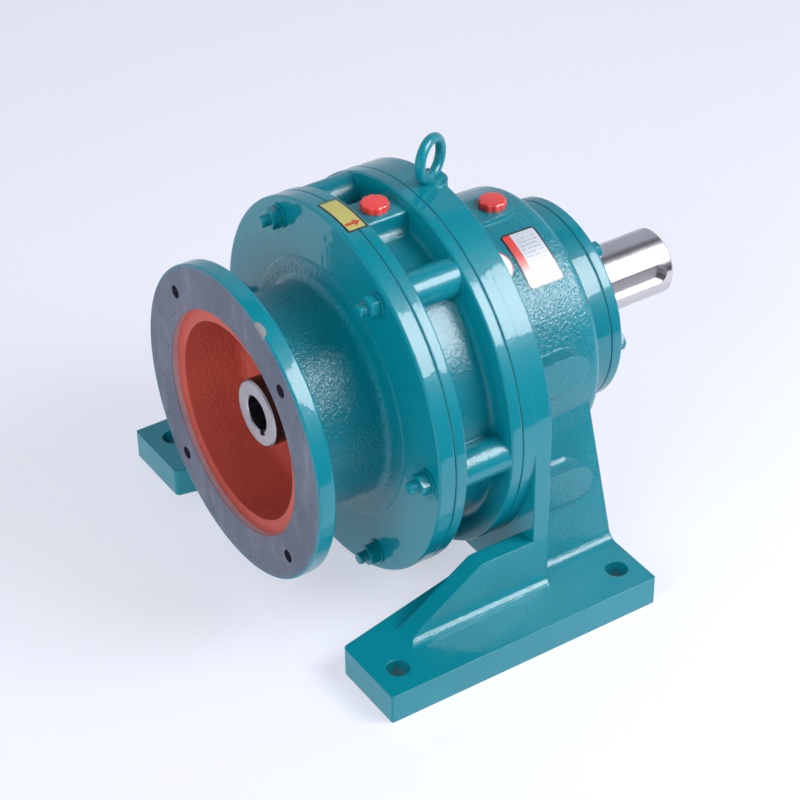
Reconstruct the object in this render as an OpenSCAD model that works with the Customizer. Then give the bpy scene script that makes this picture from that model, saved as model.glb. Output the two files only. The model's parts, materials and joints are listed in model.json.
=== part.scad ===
// Foot-mounted cycloidal speed reducer with a hollow motor-side input and a solid output shaft.
// +Z is up and +X points out of the output shaft. The origin is the centre of the four foot bolts,
// on the plane that the feet stand on.

/* [Casting] */
// Height of the shaft axis above the underside of the feet
centre_h = 160; // [156:1:175]
// Outer diameter of the rims that the tie studs clamp
rim_d = 302; // [300:1:306]
// Distance from the foot bolt centre to the front face of the base casing
base_face_x = 23.5; // [18:0.5:28]
// Thickness of each paper gasket
gasket_t = 0.6; // [0.4:0.1:1]
// Step by which a gasket stops short of the rim
gasket_inset = 1; // [0.5:0.5:2]

/* [Motor cover] */
// Diameter of the motor flange
motor_flange_d = 250; // [244:1:256]
// Thickness of the motor flange
motor_flange_t = 15; // [12:1:18]
// Depth of the spigot recess
spigot_depth = 5; // [4:0.5:7]
// Pitch circle of the motor bolts
motor_pcd = 215; // [212:1:220]
// Diameter of the motor bolt holes
motor_bolt_d = 10.2; // [8:0.2:14]
// Length of the cover from the motor face to the joint face
cover_l = 100; // [98:1:104]
// Outer diameter of the neck
neck_d = 172; // [168:1:178]
// Thickness of the neck's wall
neck_wall = 7; // [6:0.5:10]
// Radial width of the ledge between the spigot recess and the pocket
spigot_ledge = 11; // [8:0.5:14]
// Depth of the pocket from the motor face
pocket_depth = 62; // [60:0.5:63]
// Thickness of the rim at the joint face
cover_rim_t = 14; // [12:1:16]
// Radial width of the cast band around the root of the neck
cast_band_w = 18; // [14:1:20]
// Height of the cast band above the turned face
cast_band_h = 1.2; // [0.5:0.1:2]
// Depth of the annular relief behind the cover wall
relief_depth = 22; // [18:1:24]

/* [Pin housing] */
// Width of the pin housing over both rims
housing_w = 59; // [58:0.5:60]
// Thickness of each rim of the pin housing
housing_rim_t = 9.75; // [9:0.25:10.5]
// Diameter at the bottom of the groove between the rims
groove_d = 256; // [252:1:260]
// Half width of the filling block between the rims
fill_half_w = 16; // [13:1:18]
// Height of the filling block above the shaft axis
fill_top = 143.5; // [140:0.5:147]

/* [Cycloid stage] */
// Number of ring pins, one more than the lobes of each disc
ring_pins_n = 18; // [16:2:20]
// Pitch circle of the ring pins
ring_pcd = 220; // [218:1:222]
// Diameter of a ring pin
ring_pin_d = 11; // [9:0.5:12]
// Outer diameter of a ring pin sleeve
sleeve_d = 20; // [18:0.5:21]
// Eccentricity of the discs
ecc = 3.5; // [2.5:0.25:4]
// Gap between the two discs
disc_gap = 5; // [4:0.5:6]
// Gap between each disc and the rim beside it
disc_side = 1.25; // [1:0.25:2.5]
// Centre bore of a disc
disc_bore_d = 86.5; // [84:0.5:88]
// Running gap between a disc's flank and the ring sleeves
mesh_c = 0.15; // [0.12:0.01:0.25]
// Number of output pins
out_pins_n = 8; // [6:2:8]
// Pitch circle of the output pins
out_pcd = 140; // [138:1:142]
// Diameter of an output pin
out_pin_d = 18; // [16:0.5:20]
// Outer diameter of an output pin roller
out_roller_d = 26; // [24:0.5:27]
// Diameter of the inner races on the eccentric sleeve
ecc_race_d = 64; // [62:0.5:66]
// Number of rollers in each eccentric bearing
ecc_rollers_n = 14; // [10:1:14]

/* [Input shaft] */
// Diameter of the hollow coupling end
hub_d = 54; // [50:1:56]
// Distance from the motor face to the end of the shaft
hub_inset = 21.5; // [18:0.5:26]
// Bore for the motor shaft
input_bore_d = 28; // [24:1:30]
// Depth of the bore for the motor shaft
input_bore_depth = 60; // [50:1:62]
// Width of the keyway in the bore
input_key_w = 8; // [6:1:10]
// Depth of the keyway beyond the bore
input_key_depth = 3.3; // [2.5:0.1:4]
// Angle of that keyway from straight down, towards the left seen from the motor
input_key_angle = 30; // [-180:5:180]
// Diameter of the shaft under the eccentric sleeve
ecc_seat_d = 35; // [33:1:38]
// Width of the key under the eccentric sleeve
ecc_key_w = 10; // [8:1:12]
// Height of the key under the eccentric sleeve
ecc_key_h = 8; // [7:0.5:9]
// Length of the spacer between the eccentric sleeve and the tail bearing
tail_spacer_l = 4; // [3:0.5:6]

/* [Base casing] */
// Thickness of the round rim and the foot plate together
ring_t = 25; // [22:1:28]
// Thickness of the round front part alone
ring_front_t = 11; // [8:1:14]
// Diameter of the drum next to the rim
drum_d1 = 214; // [208:1:218]
// Diameter of the drum at its rear shoulder
drum_d2 = 208; // [202:1:208]
// Distance from the front face to the rear shoulder of the drum
drum_l = 108; // [104:1:112]
// Diameter of the bearing nose and its cover
nose_d = 167; // [164:1:172]
// Distance from the front face to the end of the bearing nose
nose_end = 131.8; // [131:0.2:134]
// Distance between the foot bolts along the shaft
foot_pitch_x = 202; // [196:1:208]
// Distance between the foot bolts across the shaft
foot_pitch_y = 340; // [334:1:346]
// Diameter of the foot bolt holes
foot_bolt_d = 18; // [14:1:20]
// Thickness of the feet
foot_t = 25; // [20:1:28]
// Overhang of the feet in front of the foot bolts
foot_front = 21.6; // [18:0.2:26]
// Overhang of the feet behind the foot bolts
foot_rear = 19.4; // [16:0.2:24]
// Overhang of the feet outside the foot bolts
foot_side = 25; // [20:1:28]
// Thickness of the gusset in front of the foot plate
gusset_t = 15; // [12:1:18]
// Height of the gusset's level top above the floor
gusset_top = 69.4; // [60:0.2:76]
// Length of the gusset's level top in front of the foot plate
gusset_level = 49; // [44:0.5:56]
// Length of the gusset's slope along the foot
gusset_slope = 67; // [60:1:74]
// Radius of the fillets along the foot of the gusset
gusset_fillet = 10; // [6:1:12]
// Thickness of the side walls behind the foot plate
wall_t = 12; // [9:1:15]
// Distance from the centre plane to the outside of the side walls, at the feet
wall_y = 137; // [132:0.5:140]
// Angle at which the side walls lean in
wall_lean = 17.3; // [14:0.1:20]
// Radius of the fillet between a side wall and its foot
wall_fillet = 10; // [6:1:12]
// Half the space between the feet at their front ends
foot_gap_front = 128; // [124:1:132]
// Half the space between the feet at the foot plate
foot_gap_plate = 95; // [90:1:100]
// Half the space between the feet behind the foot plate
foot_gap_rear = 110; // [106:1:114]
// Distance from the centre plane to the face of an upper side pad
upper_pad_y = 112; // [109:0.5:116]
// Height of the middle of an upper side pad above the shaft axis
upper_pad_z = 19; // [12:1:24]
// Distance from the front face to the tip of an upper side pad
upper_pad_l = 87.8; // [80:0.2:94]
// Distance from the centre plane to the face of a lower side pad
lower_pad_y = 127; // [125:0.5:131]
// Depth of the middle of a lower side pad below the shaft axis
lower_pad_z = 75.3; // [70:0.1:80]
// Distance from the front face to the tip of a lower side pad
lower_pad_l = 84; // [76:0.5:92]
// Height of the side pads
side_pad_h = 31; // [26:1:34]
// Radius of the fillet along the top of a side pad
side_pad_fillet = 7; // [4:0.5:8]
// Distance from the front face to the vent plug
vent_l = 75.8; // [66:0.2:84]
// Height of the vent plug's seat above the shaft axis
vent_rise = 108.5; // [107.5:0.5:114]
// Width of the vent plug's pad
vent_pad_w = 32; // [28:1:36]

/* [Output] */
// Diameter of the output shaft end
out_shaft_d = 55; // [50:1:58]
// Length of the shaft end beyond the cover
out_shaft_l = 95.6; // [84:0.2:104]
// Width of the output keyway
out_key_w = 16; // [14:1:18]
// Depth of the output keyway
out_key_depth = 6; // [5:0.5:7]
// Length of the output keyway
out_key_l = 70; // [56:1:74]
// Angle of the output keyway above the horizontal
out_key_angle = 11.7; // [0:0.1:30]
// Thickness of the output cover
out_cover_t = 10; // [8:1:12]
// Pitch circle of the output cover bolts
out_cover_pcd = 148; // [144:1:150]
// Thickness of the flange that carries the output pins
carrier_t = 18; // [14:1:20]
// Length of the collar between that flange and the front bearing
carrier_collar = 8; // [6:1:10]
// Diameter of the space around that flange
carrier_space_d = 184; // [180:1:188]
// Distance from the rear bearing to the end of the bearing nose
rear_bearing_inset = 8; // [6:0.5:10]
// Chamfer on the end of the output shaft
shaft_chamfer = 2.5; // [1:0.5:3]

/* [Bearings and seals] */
// Bore of the input bearing
input_bearing_bore = 50; // [48:1:52]
// Outer diameter of the input bearing
input_bearing_d = 90; // [85:1:95]
// Width of the input bearing
input_bearing_w = 20; // [16:1:20]
// Bore of the tail bearing
tail_bearing_bore = 30; // [25:1:32]
// Outer diameter of the tail bearing
tail_bearing_d = 62; // [60:1:66]
// Width of the tail bearing
tail_bearing_w = 16; // [14:1:17]
// Bore of the front output bearing
front_bearing_bore = 80; // [78:1:84]
// Outer diameter of the front output bearing
front_bearing_d = 140; // [136:1:146]
// Width of the front output bearing
front_bearing_w = 26; // [24:1:28]
// Bore of the rear output bearing
rear_bearing_bore = 70; // [68:1:74]
// Outer diameter of the rear output bearing
rear_bearing_d = 125; // [120:1:128]
// Width of the rear output bearing
rear_bearing_w = 24; // [20:1:26]
// Ball diameter as a share of the difference between a bearing's diameters
ball_share = 0.31; // [0.28:0.01:0.32]
// Outer diameter of the input seal
input_seal_d = 72; // [70:1:76]
// Width of the input seal
input_seal_w = 8; // [7:1:9]
// Thickness of the wall between the input seal and its bearing
seal_wall = 8; // [6:1:9]
// Diameter of the output shaft under its seal
output_seal_bore = 65; // [60:1:68]
// Outer diameter of the output seal
output_seal_d = 90; // [86:1:94]
// Width of the output seal
output_seal_w = 9; // [7:0.5:9.5]
// Thickness of the input bearing's circlip
circlip_t = 1.8; // [1.5:0.1:1.9]
// Depth of the circlip's groove
circlip_groove = 2; // [1:0.5:3]

/* [Fasteners] */
// Pitch circle of the tie studs
tie_pcd = 271; // [269:1:275]
// Diameter of a tie stud
tie_d = 10; // [8:1:12]
// Angle by which the side tie studs sit below the horizontal
tie_turn = 1.8; // [0:0.1:3]
// Diameter of the round bosses around the tie studs
tie_boss_d = 30; // [26:1:30]
// Thickness of the washers under the tie nuts
washer_t = 2; // [1.5:0.5:3]
// Height of the tie nuts
nut_h = 8; // [7:0.5:10]
// Length of stud that stands out of each tie nut
stud_end = 7.5; // [3:0.5:9]
// Thread size of the output cover bolts
cover_bolt_d = 8; // [6:1:8]
// Depth to which the output cover bolts are screwed in
cover_bolt_grip = 14; // [10:1:18]
// Diameter of the plug heads
plug_d = 22; // [18:1:24]
// Height of the plug heads
plug_h = 6; // [5:0.5:8]
// Thread diameter of the plugs
plug_thread_d = 16; // [12:1:17]
// Inner diameter of the lifting eye
eye_d = 23; // [20:0.5:25]
// Thickness of the lifting eye's ring
eye_bar_d = 8.3; // [6:0.1:9]
// Height of the eye's centre above its seat
eye_rise = 17.3; // [16:0.1:20]
// Diameter of the lifting eye's collar
eye_collar_d = 20; // [18:1:24]
// Thread size of the lifting eye
eye_thread_d = 8; // [6:1:10]
// Distance from the front face to the lifting eye
eye_l = 19.2; // [16:0.1:20]
// Turn of the lifting eye from the shaft direction
eye_turn = 27; // [0:1:90]

/* [Clearances] */
// Radial clearance between pieces that are pressed, screwed or seated together
fit_c = 0.02; // [0.01:0.01:0.05]
// Radial running clearance between pieces that turn on each other
run_c = 0.06; // [0.04:0.01:0.09]
// Side clearance between pieces that slide past each other
side_c = 0.25; // [0.15:0.05:0.35]

/* [Hidden] */
$fn = 96;
// Overshoot of a cut past the faces that it opens, and of a piece into the one that it grows from
cut = 1;
// Step between the round rim and the foot plate behind it
plate_step = 0.1;
// Clearance of a bolt or stud in its hole, across the diameter
bolt_c = 1.5;
// Depth to which the eye, plug and bolt holes go on below their threads
hole_end = 2;

enamel = [0.09, 0.50, 0.57];
steel = [0.70, 0.70, 0.73];
dark_steel = [0.42, 0.42, 0.46];
paper = [0.10, 0.13, 0.14];
rubber = [0.08, 0.08, 0.09];
brass = [0.78, 0.62, 0.30];
plug_red = [0.86, 0.12, 0.12];

// Stations along the shaft
x_housing_rear = base_face_x - gasket_t;
x_housing = x_housing_rear - housing_w;
x_cover_rear = x_housing - gasket_t;
x_motor = x_cover_rear - cover_l;
x_plate = base_face_x + ring_front_t;
x_ring_rear = base_face_x + ring_t;
x_nose = base_face_x + nose_end;
x_out_cover = x_nose + gasket_t;
x_cover_face = x_out_cover + out_cover_t;
x_shaft_end = x_cover_face + out_shaft_l;
x_mid = x_housing + housing_w / 2;
x_chamber = x_housing + housing_rim_t;
chamber_l = housing_w - 2 * housing_rim_t;

// Tie studs sit just below the horizontal and every 60 degrees from it
tie_n = 6;
tie_r = tie_pcd / 2;
tie_first = 30 + tie_turn;
rim_r = rim_d / 2;
plate_r = rim_r - plate_step;

// Ball bearings as [bore, outside, width]
bearing_input = [input_bearing_bore, input_bearing_d, input_bearing_w];
bearing_tail = [tail_bearing_bore, tail_bearing_d, tail_bearing_w];
bearing_front = [front_bearing_bore, front_bearing_d, front_bearing_w];
bearing_rear = [rear_bearing_bore, rear_bearing_d, rear_bearing_w];
// Shaft seals as [shaft, outside, width]
seal_input = [hub_d, input_seal_d, input_seal_w];
seal_output = [output_seal_bore, output_seal_d, output_seal_w];

// Motor cover
pocket_d = neck_d - 2 * neck_wall;
spigot_d = pocket_d + 2 * spigot_ledge;
band_r = neck_d / 2 + cast_band_w;
// The relief leaves the neck's own wall standing around it
relief_r = pocket_d / 2;
x_input_bearing = x_motor + pocket_depth + input_seal_w + seal_wall;
x_circlip = x_input_bearing + input_bearing_w;
circlip_r = input_bearing_d / 2 + circlip_groove;

// Cycloid stage, in which the discs share the chamber between the two rims
disc_t = (chamber_l - disc_gap - 2 * disc_side) / 2;
ecc_l = 2 * disc_t + disc_gap;
x_ecc = x_mid - ecc_l / 2;
x_disc_a = x_ecc;
x_disc_b = x_ecc + disc_t + disc_gap;
lobe_steps = 40;
pin_bore_r = ring_pcd / 2 - ring_pin_d / 2 - 0.8;
chamber_r = ring_pcd / 2 + sleeve_d / 2 + 1;
// The rollers run between a sleeve race and a disc bore
roller_r = (disc_bore_d - ecc_race_d) / 4 - run_c;
roller_pitch_r = (disc_bore_d + ecc_race_d) / 4;
roller_side = 1.5;
roller_l = disc_t - 2 * roller_side;
cage_side = 0.3;
cage_half_t = 2.2;
key_side = 0.3;
// The output pins and their rollers start just in front of the discs
pin_lead = 1;
roller_lead = 0.5;

// Output side
x_tail = x_ecc + ecc_l + tail_spacer_l;
x_carrier = x_tail - 0.6;
carrier_r = out_pcd / 2 + out_pin_d / 2 + 9;
carrier_space_r = carrier_space_d / 2;
x_front_bearing = x_carrier + carrier_t + carrier_collar;
x_rear_bearing = x_nose - rear_bearing_inset - rear_bearing_w;
cover_bolts_n = 6;
cover_bolt_hole_d = cover_bolt_d + 1;

// Base casing
foot_w = foot_pitch_y + 2 * foot_side;
foot_front_x = -foot_pitch_x / 2 - foot_front;
foot_rear_x = foot_pitch_x / 2 + foot_rear;
wall_top_z = centre_h - 20;
vent_x = base_face_x + vent_l;
vent_top = centre_h + vent_rise;
vent_pad_h = 12;
eye_x = base_face_x + eye_l;
eye_seat = centre_h + rim_r + 1;
eye_boss_d = eye_collar_d + 6;
eye_boss_root = 8;

// Fasteners on the tie studs, which stand on the front face of the cover's rim
tie_hole_d = tie_d + bolt_c;
tie_seat_x = x_cover_rear - cover_rim_t;
nut_r = 0.9 * tie_d;
stud_out = washer_t + nut_h + stud_end;
eye_thread_l = 14;
vent_thread_l = 12;
fill_thread_l = 14;

// Points of a closed outline given as [x, y, corner radius]
function unit(v) = v / norm(v);
function xy(p) = [p[0], p[1]];
function corner(a, b, c, r, n = 5) =
    let(
        u = unit(xy(a) - xy(b)),
        v = unit(xy(c) - xy(b)),
        half = acos(u * v) / 2,
        o = xy(b) + unit(u + v) * r / sin(half),
        p = xy(b) + u * r / tan(half) - o,
        q = xy(b) + v * r / tan(half) - o,
        a0 = atan2(p[1], p[0]),
        turn = (atan2(q[1], q[0]) - a0 + 540) % 360 - 180
    )
    [for (i = [0:n]) o + r * [cos(a0 + turn * i / n), sin(a0 + turn * i / n)]];
function rounded(pts) =
    let(n = len(pts))
    [for (i = [0:n - 1])
        each (pts[i][2] > 0 ? corner(pts[(i + n - 1) % n], pts[i], pts[(i + 1) % n], pts[i][2]) : [xy(pts[i])])];

// Outline of a cycloid disc about its own centre, with its valley towards the ring pin at angle 0
function cycloid(pitch_r, pin_r, e, n, steps) =
    [for (i = [0:steps - 1])
        let(
            t = 360 * i / steps,
            psi = atan2(sin((1 - n) * t), pitch_r / (e * n) - cos((1 - n) * t))
        )
        [pitch_r * cos(t) - pin_r * cos(t + psi) - e * cos(n * t),
         -pitch_r * sin(t) + pin_r * sin(t + psi) + e * sin(n * t)]];

// Moves a piece modelled about Z onto the shaft axis; its X points down and its Z along the shaft
module along_shaft(x, e = 0) {
    translate([x, 0, centre_h - e])
        rotate([0, 90, 0])
            children();
}

module revolve(pts) {
    rotate_extrude($fn = 120)
        polygon(rounded(pts));
}

module ring(r_out, r_in, h) {
    difference() {
        cylinder(r = r_out, h = h);
        translate([0, 0, -1])
            cylinder(r = r_in, h = h + 2);
    }
}

module on_circle(r, n, first = 0) {
    for (i = [0:n - 1])
        rotate(first + i * 360 / n)
            translate([r, 0, 0])
                children();
}

module mirrored_y() {
    children();
    mirror([0, 1, 0])
        children();
}

// Outline of a pad with one round end, along local X
module pad_outline(l, half_w) {
    square_l = l - half_w;
    translate([0, -half_w])
        square([square_l, 2 * half_w]);
    translate([square_l, 0])
        circle(r = half_w);
}

// Hole through a wall of the given height, opened at both faces
module bore(d, h) {
    translate([0, 0, -cut])
        cylinder(d = d, h = h + 2 * cut);
}

module motor_cover() {
    front = cover_l - cover_rim_t;
    hub_r = input_bearing_d / 2 + 12;
    floor_r = hub_d / 2 + 3;
    color(enamel)
        along_shaft(x_motor)
            difference() {
                revolve([
                    [floor_r, 0, 0], [motor_flange_d / 2, 0, 1.5], [motor_flange_d / 2, motor_flange_t, 3],
                    [neck_d / 2, motor_flange_t, 7], [neck_d / 2, front - cast_band_h, 6],
                    [band_r, front - cast_band_h, 0.6], [band_r, front, 0], [rim_r, front, 2],
                    [rim_r, cover_l, 0.8], [floor_r, cover_l, 0]]);
                translate([0, 0, -cut])
                    cylinder(d = spigot_d, h = spigot_depth + cut);
                revolve([
                    [0, -cut, 0], [pocket_d / 2, -cut, 0], [pocket_d / 2, pocket_depth, 12],
                    [0, pocket_depth, 0]]);
                translate([0, 0, pocket_depth - cut])
                    cylinder(d = input_seal_d + 2 * fit_c, h = input_seal_w + 2 * cut);
                translate([0, 0, x_input_bearing - x_motor])
                    cylinder(d = input_bearing_d + 2 * fit_c, h = cover_l);
                translate([0, 0, x_circlip - x_motor])
                    cylinder(r = circlip_r + fit_c, h = circlip_t + 0.05);
                revolve([
                    [hub_r, cover_l - relief_depth, 6], [relief_r, cover_l - relief_depth, 8],
                    [relief_r, cover_l + cut, 0], [hub_r, cover_l + cut, 0]]);
                on_circle(motor_pcd / 2, 4, 45)
                    bore(motor_bolt_d, motor_flange_t);
                translate([0, 0, front])
                    on_circle(tie_r, tie_n, tie_first)
                        bore(tie_hole_d, cover_rim_t);
            }
}

module gasket(x) {
    color(paper)
        along_shaft(x)
            difference() {
                ring(rim_r - gasket_inset, pin_bore_r, gasket_t);
                on_circle(tie_r, tie_n, tie_first)
                    bore(tie_hole_d, gasket_t);
            }
}

module cover_gasket() {
    gasket(x_cover_rear);
}

module base_gasket() {
    gasket(x_housing_rear);
}

module pin_housing() {
    rear = housing_w - housing_rim_t;
    groove_r = groove_d / 2;
    // Radius down to which the round bosses stand up from the groove
    boss_root_r = groove_r - 3.5;
    color(enamel)
        along_shaft(x_housing)
            difference() {
                union() {
                    revolve([
                        [pin_bore_r, 0, 0], [rim_r, 0, 0.8], [rim_r, housing_rim_t, 1.5],
                        [groove_r, housing_rim_t, 6], [groove_r, rear, 6],
                        [rim_r, rear, 1.5], [rim_r, housing_w, 0.8], [pin_bore_r, housing_w, 0],
                        [pin_bore_r, rear, 0], [chamber_r, rear, 2], [chamber_r, housing_rim_t, 2],
                        [pin_bore_r, housing_rim_t, 0]]);
                    translate([0, 0, housing_rim_t - cut])
                        on_circle(tie_r, tie_n, tie_first)
                            difference() {
                                cylinder(d = tie_boss_d, h = chamber_l + 2 * cut);
                                translate([boss_root_r - tie_r - tie_boss_d, -tie_boss_d, -cut])
                                    cube([tie_boss_d, 2 * tie_boss_d, chamber_l + 4 * cut]);
                            }
                    translate([0, 0, housing_rim_t - cut])
                        linear_extrude(height = chamber_l + 2 * cut)
                            fill_block(groove_r);
                }
                translate([0, 0, -cut])
                    on_circle(ring_pcd / 2, ring_pins_n)
                        cylinder(d = ring_pin_d + 2 * fit_c, h = housing_w + 2 * cut);
                on_circle(tie_r, tie_n, tie_first)
                    bore(tie_hole_d, housing_w);
                translate([-chamber_r + 4, 0, housing_w / 2])
                    rotate([0, -90, 0])
                        cylinder(d = plug_thread_d + 2 * fit_c, h = fill_top);
            }
}

// Outline of the filling block, flared where it stands on the bottom of the groove
module fill_block(groove_r) {
    flare = 9;
    polygon(rounded([
        [4 - groove_r, -fill_half_w - flare, 0], [-groove_r - 3, -fill_half_w, 8],
        [-fill_top, -fill_half_w, 3], [-fill_top, fill_half_w, 3],
        [-groove_r - 3, fill_half_w, 8], [4 - groove_r, fill_half_w + flare, 0]]));
}

module ring_pins() {
    color(steel)
        along_shaft(x_housing + 0.5)
            on_circle(ring_pcd / 2, ring_pins_n)
                cylinder(d = ring_pin_d, h = housing_w - 1, $fn = 32);
}

module ring_pin_sleeves() {
    color(dark_steel)
        along_shaft(x_chamber + side_c)
            on_circle(ring_pcd / 2, ring_pins_n)
                ring(sleeve_d / 2, ring_pin_d / 2 + fit_c, chamber_l - 2 * side_c, $fn = 32);
}

// One cycloid disc about its own centre, valley towards local +X
module cycloid_disc() {
    steps = (ring_pins_n - 1) * lobe_steps;
    difference() {
        linear_extrude(height = disc_t)
            polygon(cycloid(ring_pcd / 2, sleeve_d / 2 + mesh_c, ecc, ring_pins_n, steps));
        bore(disc_bore_d, disc_t);
        on_circle(out_pcd / 2, out_pins_n)
            bore(out_roller_d + 2 * (ecc + run_c), disc_t);
    }
}

module cycloid_disc_a() {
    color(steel)
        along_shaft(x_disc_a, ecc)
            cycloid_disc();
}

module cycloid_disc_b() {
    color(dark_steel)
        along_shaft(x_disc_b, -ecc)
            rotate(180)
                cycloid_disc();
}

// Loose ring around the output rollers that keeps the discs apart
module disc_spacer_ring() {
    inner_r = out_pcd / 2 + out_roller_d / 2 + run_c;
    spacer_w = 8;
    color(steel)
        along_shaft(x_disc_a + disc_t + side_c)
            ring(inner_r + spacer_w, inner_r, disc_gap - 2 * side_c);
}

// Two races side by side, thrown to opposite sides of the shaft
module eccentric_sleeve() {
    color(steel)
        along_shaft(x_ecc)
            difference() {
                union() {
                    translate([ecc, 0, 0])
                        cylinder(d = ecc_race_d, h = disc_t);
                    cylinder(d = ecc_race_d - 4 * ecc, h = ecc_l);
                    translate([-ecc, 0, disc_t + disc_gap])
                        cylinder(d = ecc_race_d, h = disc_t);
                }
                bore(ecc_seat_d + 2 * fit_c, ecc_l);
                translate([0, -ecc_key_w / 2 - fit_c, -cut])
                    cube([(ecc_seat_d + ecc_key_h) / 2, ecc_key_w + 2 * fit_c, ecc_l + 2 * cut]);
            }
}

module eccentric_key() {
    color(dark_steel)
        along_shaft(x_ecc + 1)
            translate([(ecc_seat_d - ecc_key_h) / 2, -ecc_key_w / 2, 0])
                cube([ecc_key_h - key_side, ecc_key_w, ecc_l - 2]);
}

// Places a row of rollers or a cage on each eccentric race
module on_each_race(side) {
    for (row = [[x_disc_a, ecc], [x_disc_b, -ecc]])
        along_shaft(row[0] + side, row[1])
            children();
}

module eccentric_rollers() {
    color(dark_steel)
        on_each_race(roller_side)
            on_circle(roller_pitch_r, ecc_rollers_n)
                cylinder(r = roller_r, h = roller_l, $fn = 32);
}

module eccentric_cages() {
    pocket_side = 0.1;
    color(brass)
        on_each_race(cage_side)
            difference() {
                ring(roller_pitch_r + cage_half_t, roller_pitch_r - cage_half_t, disc_t - 2 * cage_side);
                translate([0, 0, roller_side - cage_side - pocket_side])
                    on_circle(roller_pitch_r, ecc_rollers_n)
                        cylinder(r = roller_r + run_c, h = roller_l + 2 * pocket_side, $fn = 32);
            }
}

module input_shaft() {
    start_x = x_motor + hub_inset;
    seat_r = input_bearing_bore / 2;
    shoulder = x_input_bearing - start_x;
    seat_end = shoulder + input_bearing_w;
    tail_r = tail_bearing_bore / 2;
    tail_start = x_tail - start_x;
    shaft_l = tail_start + tail_bearing_w;
    color(steel)
        along_shaft(start_x)
            difference() {
                revolve([
                    [0, 0, 0], [hub_d / 2 - 1.5, 0, 0], [hub_d / 2, 1.5, 0], [hub_d / 2, shoulder, 0],
                    [seat_r, shoulder, 0], [seat_r, seat_end, 0], [ecc_seat_d / 2, seat_end, 0],
                    [ecc_seat_d / 2, tail_start, 0], [tail_r, tail_start, 0],
                    [tail_r, shaft_l - 1, 0], [tail_r - 1, shaft_l, 0], [0, shaft_l, 0]]);
                translate([0, 0, -cut])
                    cylinder(d = input_bore_d, h = input_bore_depth + cut);
                translate([0, 0, -0.5])
                    cylinder(d1 = input_bore_d + 3.5, d2 = input_bore_d, h = 1.75);
                rotate(-input_key_angle)
                    translate([0, -input_key_w / 2, -cut])
                        cube([input_bore_d / 2 + input_key_depth, input_key_w, input_bore_depth - 6]);
                translate([(ecc_seat_d - ecc_key_h) / 2 - fit_c, -ecc_key_w / 2 - fit_c, x_ecc - start_x])
                    cube([ecc_key_h, ecc_key_w + 2 * fit_c, ecc_l]);
            }
}

module front_spacer() {
    seat_end = x_input_bearing + input_bearing_w;
    spacer_w = 7;
    color(steel)
        along_shaft(seat_end)
            ring(ecc_seat_d / 2 + spacer_w, ecc_seat_d / 2 + fit_c, x_ecc - seat_end);
}

module tail_spacer() {
    spacer_w = 3.5;
    color(steel)
        along_shaft(x_ecc + ecc_l)
            ring(ecc_seat_d / 2 + spacer_w, ecc_seat_d / 2 + fit_c, tail_spacer_l - key_side);
}

// Rubber-covered shaft seal whose lip runs on the shaft
module oil_seal(s) {
    lip_r = s[0] / 2 + 0.05;
    color(rubber)
        revolve([
            [lip_r + 4, 0, 0], [s[1] / 2, 0, 0.5], [s[1] / 2, s[2], 0.5], [lip_r, s[2], 0],
            [lip_r, s[2] - 2, 0], [lip_r + 5, 2, 0]]);
}

module input_oil_seal() {
    along_shaft(x_motor + pocket_depth)
        oil_seal(seal_input);
}

module output_oil_seal() {
    along_shaft(x_cover_face)
        mirror([0, 0, 1])
            oil_seal(seal_output);
}

module input_circlip() {
    clip_w = 6;
    color(dark_steel)
        along_shaft(x_circlip)
            ring(circlip_r, circlip_r - clip_w, circlip_t);
}

// Ball bearings; side is 1 for the outer race and -1 for the inner one
function pitch_r(b) = (b[0] + b[1]) / 4;
function ball_d(b) = ball_share * (b[1] - b[0]);
function balls_n(b) = floor(0.62 * 360 * pitch_r(b) * PI / 180 / ball_d(b));
function race_r(b, side) = pitch_r(b) + side * (ball_d(b) * 0.22);

module race_groove(b) {
    translate([0, 0, b[2] / 2])
        rotate_extrude($fn = 96)
            translate([pitch_r(b), 0])
                circle(d = ball_d(b) + 2 * run_c, $fn = 48);
}

module bearing_outer(b) {
    color(dark_steel)
        difference() {
            ring(b[1] / 2, race_r(b, 1), b[2]);
            race_groove(b);
        }
}

module bearing_inner(b) {
    color(steel)
        difference() {
            ring(race_r(b, -1), b[0] / 2 + fit_c, b[2]);
            race_groove(b);
        }
}

module bearing_balls(b) {
    color(steel)
        translate([0, 0, b[2] / 2])
            on_circle(pitch_r(b), balls_n(b))
                sphere(d = ball_d(b), $fn = 32);
}

module input_bearing_outer() {
    along_shaft(x_input_bearing) bearing_outer(bearing_input);
}

module input_bearing_balls() {
    along_shaft(x_input_bearing) bearing_balls(bearing_input);
}

module input_bearing_inner() {
    along_shaft(x_input_bearing) bearing_inner(bearing_input);
}

module tail_bearing_outer() {
    along_shaft(x_tail) bearing_outer(bearing_tail);
}

module tail_bearing_balls() {
    along_shaft(x_tail) bearing_balls(bearing_tail);
}

module tail_bearing_inner() {
    along_shaft(x_tail) bearing_inner(bearing_tail);
}

module front_bearing_outer() {
    along_shaft(x_front_bearing) bearing_outer(bearing_front);
}

module front_bearing_balls() {
    along_shaft(x_front_bearing) bearing_balls(bearing_front);
}

module front_bearing_inner() {
    along_shaft(x_front_bearing) bearing_inner(bearing_front);
}

module rear_bearing_outer() {
    along_shaft(x_rear_bearing) bearing_outer(bearing_rear);
}

module rear_bearing_balls() {
    along_shaft(x_rear_bearing) bearing_balls(bearing_rear);
}

module rear_bearing_inner() {
    along_shaft(x_rear_bearing) bearing_inner(bearing_rear);
}

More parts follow.
